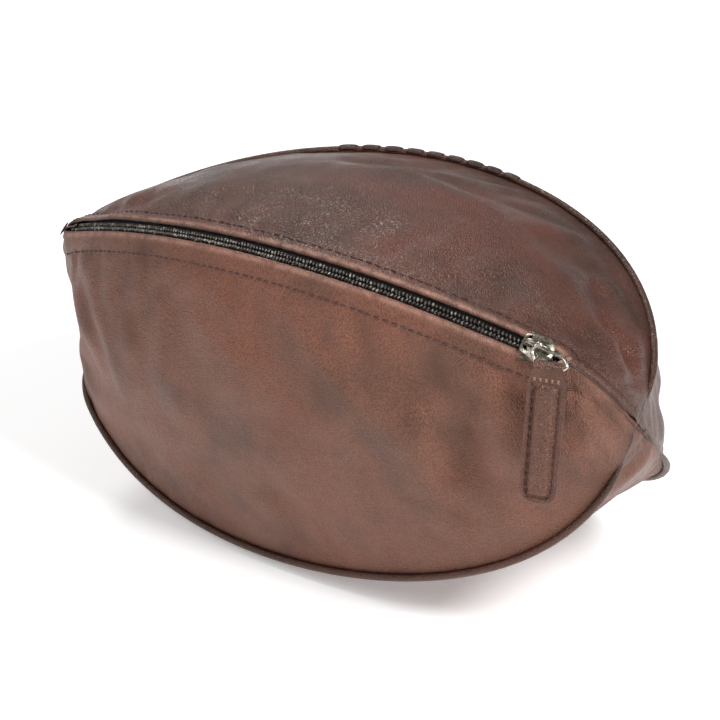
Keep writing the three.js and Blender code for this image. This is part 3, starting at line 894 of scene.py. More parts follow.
@dataclass
class Shell:
    """The four panels and their linings."""

    form: Form
    stations: int = 150
    columns: int = 36
    tip_turn: float = 0.012
    crowding: float = 1.3
    wall: float = 1.2
    lining_depth: float = 3.2
    lining_from: int = 20
    growth: float = 0.012
    cap: float = 4.0
    pinned: float = 9.0
    swell: float = 1.6
    creases: tuple[Crease, ...] = ()
    grids: dict[Panel, np.ndarray] = field(default_factory=dict)

    def turns(self) -> np.ndarray:
        """Gives the turn of each station.

        Returns:
            The turns.
        """
        return np.linspace(self.tip_turn, math.pi - self.tip_turn, self.stations)

    def shares(self, panel: Panel) -> np.ndarray:
        """Gives the share of each column, closer together near a lip.

        Args:
            panel: The panel.

        Returns:
            The shares.
        """
        steps = np.linspace(0.0, 1.0, self.columns)
        return steps**self.crowding if panel in (Panel.FRONT, Panel.TOP) else steps

    def lay(self, panel: Panel) -> np.ndarray:
        """Lays a panel out by formula, with gentle swells.

        Args:
            panel: The panel.

        Returns:
            Its grid of points.
        """
        rows = []
        offset = 37.0 * list(Panel).index(panel)
        for turn in self.turns():
            centre = self.form.centre(turn)
            row = []
            for share in self.shares(panel):
                point = self.form.panel_point(panel, turn, share)
                away = (point - centre).normalized()
                fade = math.sin(math.pi * share) * math.sin(turn)
                wave = noise.noise(Vector((point.x / 34, point.y / 30, point.z / 30 + offset)))
                fine = noise.noise(Vector((point.x / 13, point.y / 15, point.z / 15 + offset)))
                row.append(point + away * (fade * (self.swell * wave + self.swell * 0.35 * fine)))
            rows.append(row)
        return np.array(rows)

    def settle(self, panel: Panel, points: np.ndarray) -> np.ndarray:
        """Lets a panel, cut slightly too large, buckle between its seams as cloth.

        Args:
            panel: The panel.
            points: Its grid of points.

        Returns:
            The settled points.
        """
        sheet = grid(f"{panel.value}_pattern", points, self.form, bpy.data.materials.new("pattern"))
        flat = self.flat_order(sheet, points)
        run = run_across(points)
        nearest = np.minimum(run, run[:, -1:] - run)
        held = np.clip(1.0 - nearest / self.pinned, 0.0, 1.0) ** 0.5
        held[:3] = 1.0
        held[-3:] = 1.0
        group = sheet.vertex_groups.new(name="held")
        for index, (i, j) in enumerate(flat):
            group.add([index], float(held[i, j]), "REPLACE")
        cloth = sheet.modifiers.new("Cloth", "CLOTH")
        settings = cloth.settings
        settings.quality = 5
        settings.mass = 0.35
        settings.tension_stiffness = 30.0
        settings.compression_stiffness = 30.0
        settings.shear_stiffness = 12.0
        settings.bending_stiffness = 3.0
        settings.shrink_min = -self.growth
        settings.vertex_group_mass = group.name
        settings.effector_weights.gravity = 0.0
        cloth.point_cache.frame_start = 1
        cloth.point_cache.frame_end = 20
        for number in range(1, 21):
            bpy.context.scene.frame_set(number)
        seen = sheet.evaluated_get(bpy.context.evaluated_depsgraph_get()).to_mesh()
        moved = np.empty(len(seen.vertices) * 3)
        seen.vertices.foreach_get("co", moved)
        moved = moved.reshape(-1, 3) / MM - np.array(self.form.origin)
        bpy.context.scene.frame_set(1)
        bpy.data.objects.remove(sheet)
        settled = points.copy()
        for place, point in zip(flat, moved):
            settled[place] = point
        change = settled - points
        length = np.linalg.norm(change, axis=2, keepdims=True)
        change *= np.tanh(length / self.cap) * self.cap / np.maximum(length, 1e-6)
        LOG.info("%s settled by up to %.1f mm", panel.value, float(length.max()))
        settled = points + change
        settled[..., 2] = np.maximum(settled[..., 2], self.form.floor)
        return settled

    def flat_order(self, sheet: bpy.types.Object, points: np.ndarray) -> list[tuple[int, int]]:
        """Finds the row and column of each of a sheet's vertices.

        Args:
            sheet: A sheet made by `grid`.
            points: The grid it was made from.

        Returns:
            The row and column of each vertex.
        """
        rows, columns = points.shape[:2]
        count = len(sheet.data.vertices)
        placed = [(index % rows, index // rows) for index in range(count)]
        probe = self.form.metres(points[1, 0])
        if (sheet.data.vertices[1].co - probe).length > 1e-7:
            placed = [(index // columns, index % columns) for index in range(count)]
        return placed

    def normals(self, points: np.ndarray) -> np.ndarray:
        """Gives the outward direction at each point of a grid.

        Args:
            points: The grid.

        Returns:
            Unit vectors.
        """
        along = np.gradient(points, axis=0)
        across = np.gradient(points, axis=1)
        out = np.cross(along, across)
        out /= np.maximum(np.linalg.norm(out, axis=2, keepdims=True), 1e-9)
        middle = points[self.stations // 2, self.columns // 2]
        centre = np.array(self.form.centre(math.pi / 2))
        flip = np.sign(np.dot(out[self.stations // 2, self.columns // 2], middle - centre))
        return out * flip

    def fold(self, panel: Panel, points: np.ndarray) -> np.ndarray:
        """Presses the creases into a panel.

        Args:
            panel: The panel.
            points: Its settled points.

        Returns:
            The creased points.
        """
        out = self.normals(points)
        for crease in (item for item in self.creases if item.panel is panel):
            steps = np.linspace(0.0, 1.0, 30)
            line = np.array([self.on_crease(crease, step) for step in steps])
            gaps = np.linalg.norm(points[:, :, None] - line, axis=3)
            nearest = gaps.argmin(axis=2)
            away = np.take_along_axis(gaps, nearest[..., None], axis=2)[..., 0]
            taper = np.sin(np.pi * np.clip(steps[nearest] * 0.9 + 0.05, 0.0, 1.0)) ** 0.7
            groove = np.exp(-((away / crease.width) ** 2))
            ridge = 0.45 * np.exp(-(((away - 2.1 * crease.width) / (1.1 * crease.width)) ** 2))
            points = points + out * (crease.depth * taper * (ridge - groove))[..., None]
        points[..., 2] = np.maximum(points[..., 2], self.form.floor)
        return points

    def on_crease(self, crease: Crease, step: float) -> Vector:
        """Gives a point on a crease, which wanders a little.

        Args:
            crease: The crease.
            step: 0 at its start to 1 at its end.

        Returns:
            The point.
        """
        turn = crease.start[0] + (crease.end[0] - crease.start[0]) * step
        share = crease.start[1] + (crease.end[1] - crease.start[1]) * step
        bend = math.sin(math.pi * step)
        wander = noise.noise(Vector((turn * 3.0, share * 5.0, 11.0 + step * 2.0)))
        share = min(1.0, share + 0.05 * bend * wander)
        return self.form.panel_point(crease.panel, turn + 0.06 * bend * wander, share)

    def pucker(self, panel: Panel, points: np.ndarray) -> np.ndarray:
        """Draws the leather in along its seams and its topstitching.

        Args:
            panel: The panel.
            points: Its points.

        Returns:
            The puckered points.
        """
        out = self.normals(points)
        run = run_across(points)
        left = run[:, -1:] - run
        lipped = panel in (Panel.FRONT, Panel.TOP)
        nearest = left if lipped else np.minimum(run, left)
        along = np.linalg.norm(np.diff(points[:, -1], axis=0, prepend=points[:1, -1]), axis=1).cumsum()
        ripple = np.array([noise.noise(Vector((float(step) / 6.5, 5.0, 2.0))) for step in along])[:, None]
        change = 0.9 * ripple * np.exp(-(((nearest - 5.0) / 4.5) ** 2))
        change -= 0.5 * np.exp(-((nearest / 1.6) ** 2))
        if lipped:
            drop = FRONT_STITCH if panel is Panel.FRONT else REAR_STITCH
            change -= 0.42 * np.exp(-(((run - drop) / 1.1) ** 2))
            change += 0.3 * np.exp(-(((run - 0.55 * drop) / 2.2) ** 2))
        change *= 1 - np.exp(-((nearest / 1.3) ** 2))
        return points + out * change[..., None]

    def sample(self, panel: Panel, turn: float, share: float) -> tuple[Vector, Vector]:
        """Reads a settled panel.

        Args:
            panel: The panel.
            turn: The section's turn.
            share: The share across the panel.

        Returns:
            The point and the outward direction.
        """
        points = self.grids[panel]
        row = (turn - self.tip_turn) / (math.pi - 2 * self.tip_turn) * (self.stations - 1)
        power = self.crowding if panel in (Panel.FRONT, Panel.TOP) else 1.0
        column = max(0.0, share) ** (1 / power) * (self.columns - 1)
        i = min(max(int(row), 0), self.stations - 2)
        j = min(max(int(column), 0), self.columns - 2)
        p, q = min(max(row - i, 0.0), 1.0), min(max(column - j, 0.0), 1.0)
        low = points[i, j] * (1 - q) + points[i, j + 1] * q
        high = points[i + 1, j] * (1 - q) + points[i + 1, j + 1] * q
        along = points[i + 1, j] - points[i, j]
        across = points[i, j + 1] - points[i, j]
        out = Vector(np.cross(along, across)).normalized()
        point = Vector(low * (1 - p) + high * p)
        if out.dot(point - self.form.centre(turn)) < 0:
            out.negate()
        return point, out

    def width(self, panel: Panel, turn: float) -> float:
        """Gives the straight width of a panel.

        Args:
            panel: The panel.
            turn: The section's turn.

        Returns:
            The width.
        """
        start, end = self.form.edges(panel, turn)
        return (end - start).length

    def turned(self, panel: Panel, points: np.ndarray) -> np.ndarray:
        """Adds the rounded edge that turns under at a lip.

        Args:
            panel: Not used.
            points: Its grid.

        Returns:
            The grid with three more columns.
        """
        out = self.normals(points)[:, 0]
        into = points[:, 2] - points[:, 0]
        into -= out * np.sum(into * out, axis=1, keepdims=True)
        into /= np.linalg.norm(into, axis=1, keepdims=True)
        radius = self.wall
        ends = np.sin(self.turns())[:, None] ** 0.35
        columns = []
        for angle in (105.0, 70.0, 35.0):
            swing = math.radians(angle)
            step = out * (math.cos(swing) - 1) - into * (math.sin(swing) - 1)
            columns.append(points[:, 0] + step * radius * ends)
        body = points.copy()
        push = into * radius * ends
        for column, share in ((0, 1.0), (1, 0.5), (2, 0.2)):
            body[:, column] += push * share
        return np.concatenate([np.stack(columns, axis=1), body], axis=1)

    def build(self) -> list[bpy.types.Object]:
        """Makes the panels and linings.

        Returns:
            The pieces.
        """
        finishes = {
            Panel.FRONT: FRONT_LEATHER.material(),
            Panel.BASE: FRONT_LEATHER.material(),
            Panel.TOP: TOP_LEATHER.material(),
            Panel.BACK: TOP_LEATHER.material(),
        }
        stands_for = {
            Panel.FRONT: ("front_panel", "front_turned_edge"),
            Panel.TOP: ("top_panel", "top_flap", "rear_turned_edge"),
            Panel.BACK: ("back_panel",),
            Panel.BASE: ("base_panel",),
        }
        linings = {
            Panel.FRONT: ("front_lining",),
            Panel.TOP: ("top_lining", "flap_lining"),
            Panel.BACK: ("back_lining",),
            Panel.BASE: ("base_lining",),
        }
        lining_finish = LINING.material()
        pieces = []
        for panel in Panel:
            laid = self.lay(panel)
            self.grids[panel] = self.pucker(panel, self.fold(panel, self.settle(panel, laid)))
            points = self.grids[panel]
            lipped = panel in (Panel.FRONT, Panel.TOP)
            shown = self.turned(panel, points) if lipped else points
            if not self.faces_out(shown):
                shown = shown[:, ::-1]
            skin = grid(f"{panel.value}_skin", shown, self.form, finishes[panel])
            self.mark(skin, panel, shown)
            thicken(skin, self.wall)
            subdivide(skin)
            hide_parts(*stands_for[panel])
            first = 3 if lipped else 0
            inner = points - self.normals(points) * self.lining_depth
            inner = inner[self.lining_from:-self.lining_from, first:]
            if not self.faces_out(inner):
                inner = inner[:, ::-1]
            lining = grid(f"{panel.value}_lining_cloth", inner, self.form, lining_finish)
            thicken(lining, 0.5)
            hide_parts(*linings[panel])
            for piece in (skin, lining):
                if panel is Panel.TOP:
                    open_with_flap(piece)
                else:
                    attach(piece, Body.ROOT.value)
                pieces.append(piece)
        return pieces

    def open_part(self) -> np.ndarray:
        """Says which stations lie along the teeth.

        Returns:
            1 along the teeth to 0 past them, for each station.
        """
        x = -self.form.half_length * np.cos(self.turns())
        inside = np.minimum(x - self.form.first_x + 6.0, self.form.last_x - x) / 4.0
        return np.clip(inside, 0.0, 1.0)

    def faces_out(self, points: np.ndarray) -> bool:
        """Says whether a grid's rows cross its columns outwards.

        Args:
            points: The grid.

        Returns:
            True if they do.
        """
        i, j = points.shape[0] // 2, points.shape[1] // 2
        out = np.cross(points[i + 1, j] - points[i, j], points[i, j + 1] - points[i, j])
        return float(out @ (points[i, j] - np.array(self.form.centre(math.pi / 2)))) > 0

    def mark(self, skin: bpy.types.Object, panel: Panel, points: np.ndarray) -> None:
        """Marks the painted shade along the seams and at the lip's turned-under edge, and the worn edge of a
        lip.

        Args:
            skin: The panel's piece.
            panel: The panel.
            points: The grid it was made from.
        """
        order = self.flat_order(skin, points)
        run = run_across(points)
        left = run[:, -1:] - run
        lip = None
        if panel in (Panel.FRONT, Panel.TOP):
            start_is_lip = np.linalg.norm(points[self.stations // 2, 0] - np.array(
                self.form.lip_point(-1 if panel is Panel.FRONT else 1, self.turns()[self.stations // 2])
            )) < 12.0
            lip, seam = (run, left) if start_is_lip else (left, run)
        else:
            seam = np.minimum(run, left)
        # Painted shade, darkest at each seam and fading over about 4 mm.
        edge = np.exp(-((seam / 4.0) ** 2))
        worn = np.zeros_like(edge)
        if lip is not None:
            open_part = self.open_part()[:, None]
            worn = np.exp(-(((lip - 2.4) / 1.0) ** 2)) * (0.12 + 0.55 * open_part)
            # Painted shade where the lip turns under.
            edge = np.maximum(edge, np.exp(-((lip / 1.6) ** 2)))
        store(skin, "edge", np.array([edge[place] for place in order]))
        store(skin, "worn", np.array([worn[place] for place in order]))


def open_with_flap(piece: bpy.types.Object) -> None:
    """Bakes a rear-lip piece's placement into its mesh; it is neither bent nor joined to the flap.

    Args:
        piece: The piece, in its final mesh.
    """
    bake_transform(piece)


# ---------------------------------------------------------------------------- seams


@dataclass
class Piping:
    """Three corded seams, and the sewn seam from each end of the zip to its tip."""

    shell: Shell
    radius: float = 1.45
    free_turn: float = 0.27
    front_start: float = 0.56
    steps: int = 150

    def out_of_seam(self, seam: Seam, turn: float) -> Vector:
        """Gives the direction straight out of the bag at a seam.

        Args:
            seam: The seam.
            turn: The place along it.

        Returns:
            A unit vector, square to the seam.
        """
        form = self.shell.form
        along = (form.seam_point(seam, turn + 0.005) - form.seam_point(seam, turn - 0.005)).normalized()
        outward = form.seam_point(seam, turn) - form.centre(turn)
        return (outward - along * outward.dot(along)).normalized()

    def beside(self, seam: Seam, turn: float, distance: float) -> Vector:
        """Gives a point straight out of a seam.

        Args:
            seam: The seam.
            turn: The place along it.
            distance: How far out.

        Returns:
            The point.
        """
        return self.shell.form.seam_point(seam, turn) + self.out_of_seam(seam, turn) * distance

    def build(self) -> list[bpy.types.Object]:
        """Makes the piping and the end seams.

        Returns:
            The pieces.
        """
        form = self.shell.form
        finish = PIPING_LEATHER.material()
        seams = {
            "front_piping": form.front_bottom,
            "back_top_piping": form.back_top,
            "back_bottom_piping": form.back_bottom,
        }
        pieces = []
        for node, seam in seams.items():
            first = self.front_start if node == "front_piping" else self.free_turn
            turns = np.linspace(first, math.pi - self.free_turn, self.steps)
            points, radii = [], []
            for turn in turns:
                ends = min(1.0, min(turn - first, math.pi - self.free_turn - turn) / 0.16)
                size = self.radius * (0.35 + 0.65 * math.sqrt(max(0.0, ends)))
                pucker = 1 + 0.05 * noise.noise(Vector((turn * 60, 3.0, 7.0)))
                points.append(self.beside(seam, turn, 0.6 * size - 2.4 * (1 - max(0.0, ends)) ** 2))
                radii.append(size * pucker)
            cord = rod(f"{node}_cord", points, radii, form, finish)
            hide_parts(node)
            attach(cord, Body.ROOT.value)
            pieces.append(cord)
        thread = DARK_THREAD.material()
        ends = (
            ("left", -form.half_length + 1.5, form.first_x),
            ("right", form.last_x + 1.0, form.half_length - 1.5),
        )
        for name, first, last in ends:
            points = [form.zip_point(x, 0.0, 0.35) for x in np.linspace(first, last, 24)]
            seam_line = rod(f"{name}_end_seam", points, [0.42] * 24, form, thread, 2)
            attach(seam_line, Body.ROOT.value)
            pieces.append(seam_line)
        return pieces


@dataclass
class LaceRow:
    """Lace loops wrapped over the back top piping."""

    piping: Piping
    count: int = 9
    pitch: float = 9.8
    length: float = 7.6
    first_x: float = -63.0
    inner: float = 1.35
    thickness: float = 0.75
    wrap: float = 118.0

    def turn_at(self, x: float) -> float:
        """Finds the seam's turn at a distance along the bag, by halving.

        Args:
            x: The distance.

        Returns:
            The turn.
        """
        form = self.piping.shell.form
        low, high = 0.0, math.pi
        for _ in range(36):
            middle = (low + high) / 2
            if form.seam_point(form.back_top, middle).x < x:
                low = middle
            else:
                high = middle
        return (low + high) / 2

    def build(self) -> list[bpy.types.Object]:
        """Makes the loops.

        Returns:
            The pieces.
        """
        form = self.piping.shell.form
        finish = LACE_LEATHER.material()
        pieces = []
        for number in range(self.count):
            middle = self.first_x + number * self.pitch
            rows = []
            for along in np.linspace(-0.5, 0.5, 9):
                turn = self.turn_at(middle + along * self.length)
                centre = self.piping.beside(form.back_top, turn, 0.6 * self.piping.radius)
                out = self.piping.out_of_seam(form.back_top, turn)
                sideways = Vector((0.0, out.z, -out.y)).normalized()
                crown = 0.4 * math.sqrt(max(0.0, 1 - (2 * along) ** 2))
                radius = self.inner + self.thickness * 0.6 + crown
                row = []
                for swing in np.linspace(-self.wrap, self.wrap, 17):
                    angle = math.radians(swing)
                    row.append(centre + (out * math.cos(angle) + sideways * math.sin(angle)) * radius)
                rows.append(row)
            points = np.array(rows)
            i, j = 4, 8
            facing = np.cross(points[i + 1, j] - points[i, j], points[i, j + 1] - points[i, j])
            if facing @ np.array(self.piping.out_of_seam(form.back_top, self.turn_at(middle))) < 0:
                points = points[:, ::-1]
            loop = grid(f"lace_{number + 1}", points, form, finish)
            thicken(loop, self.thickness * 0.8)
            subdivide(loop)
            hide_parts(f"lace_loop_{number + 1}")
            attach(loop, Body.ROOT.value)
            pieces.append(loop)
        return pieces


# ---------------------------------------------------------------------------- zip


@dataclass
class Zip:
    """Tapes, coil, stops, tacks and the topstitching beside them."""

    shell: Shell
    tooth_pitch: float = 1.55
    row_start: float = 0.15
    row_width: float = 1.75
    row_depth: float = 1.15
    row_clearance: float = 3.0
    tooth_start: float = 1.2
    tooth_lift: float = 0.75
    tooth_lean: float = 0.22
    tape_depth: float = 2.9
    tape_width: float = 12.0
    tape_inner: float = 0.25
    tape_sag: float = 3.0
    tape_end_reach: float = 0.3
    tape_extra_reach: float = 0.13
    tape_taper: float = 14.0
    stitch_pitch: float = 3.7
    tack_angle: float = 38.0
    tack_spread: float = 0.45
    ridden: list[bpy.types.Object] = field(default_factory=list)

    def settle_piece(self, piece: bpy.types.Object, side: int) -> None:
        """Attaches a front piece to the root body, bakes a rear piece in place, and lists it.

        Args:
            piece: The piece.
            side: -1 for the front, 1 for the rear.
        """
        if side > 0:
            open_with_flap(piece)
        else:
            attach(piece, Body.ROOT.value)
        self.ridden.append(piece)

    def tape(self, side: int, finish: bpy.types.Material) -> bpy.types.Object:
        """Makes one tape, from under its coil to under the leather.

        Args:
            side: -1 for the front, 1 for the rear.
            finish: Its material.

        Returns:
            The piece.
        """
        form = self.shell.form
        rows = []
        for x in np.linspace(form.first_x - 1.0, form.last_x + 1.0, 110):
            row = []
            ending = min(x - form.first_x, form.last_x - x) / self.tape_taper
            share = self.tape_end_reach + self.tape_extra_reach * min(1.0, max(0.0, ending))
            for across in np.linspace(self.tape_inner, self.tape_width * share, 7):
                sag = self.tape_sag * (across / self.tape_width) ** 2
                row.append(form.zip_point(x, side * across, self.tape_depth + sag))
            rows.append(row)
        points = np.array(rows)
        if side < 0:
            points = points[:, ::-1]
        facing = np.cross(points[51, 3] - points[50, 3], points[50, 4] - points[50, 3])
        if facing @ np.array(form.in_plane(form.zip_angle, 0.0, 1.0)) < 0:
            points = points[:, ::-1]
        tape = grid(f"{'front' if side < 0 else 'rear'}_zip_tape", points, form, finish)
        thicken(tape, 0.5)
        return tape

    def teeth(self, side: int, finish: bpy.types.Material) -> bpy.types.Object:
        """Makes one row of the coil.

        Args:
            side: -1 for the front, 1 for the rear.
            finish: Its material.

        Returns:
            The piece.
        """
        form = self.shell.form
        count = int((form.last_x - form.first_x - self.row_clearance) / self.tooth_pitch)
        shift = 0.5 if side > 0 else 0.0
        matrices = []
        for index in range(count):
            x = form.first_x + self.tooth_start + (index + shift) * self.tooth_pitch
            base = form.zip_frame(x, self.row_depth + self.tooth_lift)
            middle = side * (self.row_start + self.row_width / 2)
            turn = Matrix.Rotation(side * self.tooth_lean, 4, "Z")
            size = Matrix.Diagonal((0.52, self.row_width / 2 + 0.2, 0.8, 1.0))
            matrices.append(base @ Matrix.Translation((0.0, middle, 0.0)) @ turn @ size)
        return blobs(f"{'front' if side < 0 else 'rear'}_coil", matrices, form, finish)

    def stitches(self, panel: Panel, drop: float, finish: bpy.types.Material) -> bpy.types.Object:
        """Makes a line of stitches at a fixed distance from the zip.

        Args:
            panel: The panel that it is on.
            drop: Its distance from the lip.
            finish: Its material.

        Returns:
            The piece.
        """
        form = self.shell.form
        first, last = form.turn_at(form.first_x - 4.0), form.turn_at(form.last_x + 3.0)
        line = []
        for turn in np.linspace(first, last, 400):
            point, out = self.shell.sample(panel, turn, drop / self.shell.width(panel, turn))
            line.append((point, out))
        matrices = []
        travelled, due = 0.0, 0.0
        for (before, _), (point, out) in zip(line, line[1:]):
            travelled += (point - before).length
            if travelled >= due:
                along = point - before
                matrices.append(axes(point + out * 0.12, along, out, Vector((1.45, 0.42, 0.42))))
                due += self.stitch_pitch
        return blobs(f"{panel.value}_stitches", matrices, form, finish)

    def tack(self, name: str, x: float, finish: bpy.types.Material) -> bpy.types.Object:
        """Makes a crossed tack over the end of the zip.

        Args:
            name: The piece's name.
            x: Distance along the chord.
            finish: Its material.

        Returns:
            The piece.
        """
        base = self.shell.form.zip_frame(x, 0.5)
        matrices = []
        for angle in (-self.tack_angle, self.tack_angle):
            turn = Matrix.Rotation(math.radians(angle), 4, "Z")
            for shift in (-self.tack_spread, 0.0, self.tack_spread):
                put = Matrix.Translation((shift, 0.0, 0.75 + 0.1 * shift))
                matrices.append(base @ turn @ put @ Matrix.Diagonal((0.36, 3.4, 0.42, 1.0)))
        return blobs(name, matrices, self.shell.form, finish, 10)

    def build(self) -> list[bpy.types.Object]:
        """Makes the zip.

        Returns:
            The pieces.
        """
        tape, teeth, thread, tan = (kind.material() for kind in (TAPE, TEETH, DARK_THREAD, TAN_THREAD))
        nickel = NICKEL.material()
        sides = ((-1, "front", Panel.FRONT, FRONT_STITCH), (1, "rear", Panel.TOP, REAR_STITCH))
        for side, name, panel, drop in sides:
            strip = self.tape(side, tape)
            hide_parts(f"{name}_tape")
            self.settle_piece(strip, side)
            row = self.teeth(side, teeth)
            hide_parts(f"{name}_teeth")
            self.settle_piece(row, side)
            line = self.stitches(panel, drop, thread)
            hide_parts(f"{name}_topstitch")
            self.settle_piece(line, side)
            stop = self.stop(f"{name}_stop", side, nickel)
            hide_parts(f"{name}_top_stop")
            self.settle_piece(stop, side)
        form = self.shell.form
        for node, x in (("start_tack", form.first_x - form.start_closing), ("end_tack", form.last_x - 1.2)):
            cross = self.tack(f"{node}_cross", x, tan if node == "end_tack" else thread)
            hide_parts(node)
            self.settle_piece(cross, -1)
        repaint("bottom_stop", nickel)
        return self.ridden

    def stop(self, name: str, side: int, finish: bpy.types.Material) -> bpy.types.Object:
        """Makes the clip that ends one row.

        Args:
            name: The piece's name.
            side: -1 for the front, 1 for the rear.
            finish: Its material.

        Returns:
            The piece.
        """
        form = self.shell.form
        base = form.zip_frame(form.last_x - 1.6, self.row_depth + 1.4)
        shape = bmesh.new()
        size = Matrix.Diagonal((2.4, 1.8, 1.8, 1.0))
        put = form.to_frame() @ base @ Matrix.Translation((0.0, side * 1.3, 0.0)) @ size
        bmesh.ops.create_cube(shape, size=1.0, matrix=put)
        bmesh.ops.bevel(
            shape, geom=shape.edges[:], offset=0.5 * MM, segments=3, affect="EDGES", profile=0.5, material=-1
        )
        return finished(name, shape, finish)


def repaint(node: str, finish: bpy.types.Material) -> None:
    """Gives a CAD node its finish.

    Args:
        node: The node.
        finish: Its material.
    """
    target = frame["nodes"][node]
    for slot in target.material_slots:
        slot.material = finish
    if not target.material_slots:
        target.data.materials.append(finish)


# ---------------------------------------------------------------------------- slider, bail and puller


@dataclass
class Slider:
    """The zip's slider, its bridge, and the wire bail that carries the puller."""

    form: Form
    rest_x: float = 113.4
    length: float = 12.4
    width: float = 10.8
    tail: float = 7.6
    plate: float = 1.6
    clearance: float = 0.35
    wire: float = 0.78
    bail_reach: float = 6.2
    bail_base: float = 11.8
    bail_shift: float = 7.6
    bail_lift: float = 4.7
    puller_lean: float = 9.0
    puller_turn: float = 17.0

    def axes(self) -> Matrix:
        """Gives the slider's own axes.

        Returns:
            The matrix, in millimetres about the chord.
        """
        return self.form.zip_frame(self.rest_x)

    def puller_axes(self) -> Matrix:
        """Gives the axes that the puller hangs in, about the middle of the bail's base.

        Returns:
            The matrix, in millimetres about the chord.
        """
        middle = self.axes() @ Vector((self.bail_shift, -self.bail_reach, self.bail_lift))
        turn = Matrix.Rotation(math.radians(self.puller_turn), 4, "Z")
        lean = Matrix.Rotation(math.radians(-self.puller_lean), 4, "X")
        return Matrix.Translation(middle) @ turn @ lean

    def outline(self, grow: float = 0.0) -> list[tuple[float, float]]:
        """Gives a wing's outline: round at the nose, narrow at the tail.

        Args:
            grow: How much larger.

        Returns:
            Points in order.
        """
        half = self.length / 2
        nose, tail = self.width / 2 + grow, self.tail / 2 + grow
        lower = [(-half - grow, -tail * 0.72), (-half - grow * 0.6 + 0.7, -tail), (half / 4, -nose)]
        for angle in np.linspace(-75.0, 75.0, 13):
            swing = math.radians(angle)
            lower.append((half / 4 + (half * 0.75 + grow) * math.cos(swing), nose * math.sin(swing)))
        return [*lower, (half / 4, nose), (-half - grow * 0.6 + 0.7, tail), (-half - grow, tail * 0.72)]

    def wing(
        self, shape: bmesh.types.BMesh, bottom: float, thickness: float, crown: float, share: float = 1.0
    ) -> None:
        """Adds a crowned plate to a shape.

        Args:
            shape: The shape, in the slider's own millimetres.
            bottom: Height of its underside.
            thickness: Thickness at its rim.
            crown: How much the middle rises.
            share: Its width, as a share of the full width.
        """
        corners = [shape.verts.new((x, y * share, bottom)) for x, y in self.outline()]
        face = shape.faces.new(corners)
        made = bmesh.ops.extrude_face_region(shape, geom=[face])
        top_verts = [item for item in made["geom"] if isinstance(item, bmesh.types.BMVert)]
        bmesh.ops.translate(shape, verts=top_verts, vec=(0.0, 0.0, thickness))
        top = next(item for item in made["geom"] if isinstance(item, bmesh.types.BMFace))
        rings = ((0.5, 0.32), (0.7, 0.2), (1.1, crown * 0.45), (1.4, crown * 0.4))
        for inset, rise in rings:
            bmesh.ops.inset_region(shape, faces=[top], thickness=inset, use_even_offset=False)
            bmesh.ops.translate(shape, verts=list(top.verts), vec=(0.0, 0.0, rise))

    def body(self) -> bpy.types.Object:
        """Makes both wings and the post.

        Returns:
            The piece.
        """
        shape = bmesh.new()
        self.wing(shape, self.clearance, self.plate * 0.75, 1.1)
        under = -self.form.gap - 3.8 - self.plate
        self.wing(shape, under, self.plate * 0.6, 0.2, 0.58)
        post = Matrix.Translation((self.length / 2 - 3.0, 0.0, -1.8)) @ Matrix.Diagonal((3.0, 1.1, 5.0, 1.0))
        bmesh.ops.create_cube(shape, size=1.0, matrix=post)
        for side in (-1, 1):
            put = Matrix.Translation((-0.6, side * (self.width / 2 - 0.75), -0.15))
            lean = Matrix.Rotation(-side * 0.13, 4, "Z")
            bmesh.ops.create_cube(shape, size=1.0, matrix=put @ lean @ Matrix.Diagonal((8.4, 0.9, 1.6, 1.0)))
        bmesh.ops.recalc_face_normals(shape, faces=shape.faces)
        bmesh.ops.transform(shape, matrix=self.form.to_frame() @ self.axes(), verts=shape.verts)
        body = finished("slider_shell", shape, NICKEL.material())
        self.soften(body, 0.28)
        return body

    def soften(self, piece: bpy.types.Object, width: float) -> None:
        """Rounds a piece's sharp edges.

        Args:
            piece: The piece.
            width: The bevel in millimetres.
        """
        made = piece.modifiers.new("Edges", "BEVEL")
        made.width = width * MM
        made.segments = 3
        made.limit_method = "ANGLE"
        made.angle_limit = math.radians(32.0)
        made.harden_normals = False

    def crown(self) -> bpy.types.Object:
        """Makes the bridge along the top, broad in the middle with rounded shoulders.

        Returns:
            The piece.
        """
        base = self.clearance + self.plate + 0.2
        points, radii = [], []
        for angle in np.linspace(0.0, math.pi, 25):
            x = -4.3 * math.cos(angle)
            z = base + 3.0 * math.sin(angle) ** 0.55
            points.append(self.axes() @ Vector((x, 0.0, z)))
            radii.append(1.05 + 0.3 * math.sin(angle))
        return rod("slider_crown", points, radii, self.form, NICKEL.material(), 4)

    def bail(self) -> bpy.types.Object:
        """Makes the wire link: over the bridge, and out to a straight base in the puller's fold.

        Returns:
            The piece.
        """
        hang = self.puller_axes()
        inward = self.axes().inverted() @ hang
        half = self.bail_base / 2 - 0.2
        strap = self.clearance + self.plate + 2.6

        def on_base(along: float, back: float = 0.0, up: float = 0.0) -> Vector:
            spot = inward @ Vector((along, 0.0, 0.0))
            return spot + Vector((0.0, back, up))

        knots = [
            on_base(0.0),
            on_base(-half + 1.6),
            on_base(-half, 1.6, 0.2),
            Vector((-0.6, -2.9, strap + 0.3)),
            Vector((-0.1, -1.2, strap + 1.5)),
            Vector((1.0, 0.2, strap + 1.8)),
            Vector((2.4, -0.7, strap + 1.4)),
            on_base(half - 3.0, 4.6, 0.5),
            on_base(half, 1.7, 0.2),
            on_base(half - 1.6),
            on_base(0.0),
        ]
        line = smooth_line(knots, 9)
        points = [self.axes() @ point for point in line]
        return rod("bail_wire", points, [self.wire] * len(points), self.form, BRIGHT.material(), 4)

    def build(self) -> list[bpy.types.Object]:
        """Makes the slider and its bail.

        Returns:
            The pieces.
        """
        body, crown, bail = self.body(), self.crown(), self.bail()
        for piece, node, rider in (
            (body, "slider_body", Body.SLIDER),
            (crown, "slider_bridge", Body.SLIDER),
            (bail, "pull_bail", Body.BAIL),
        ):
            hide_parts(node)
            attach(piece, rider.value)
        return [body, crown, bail]


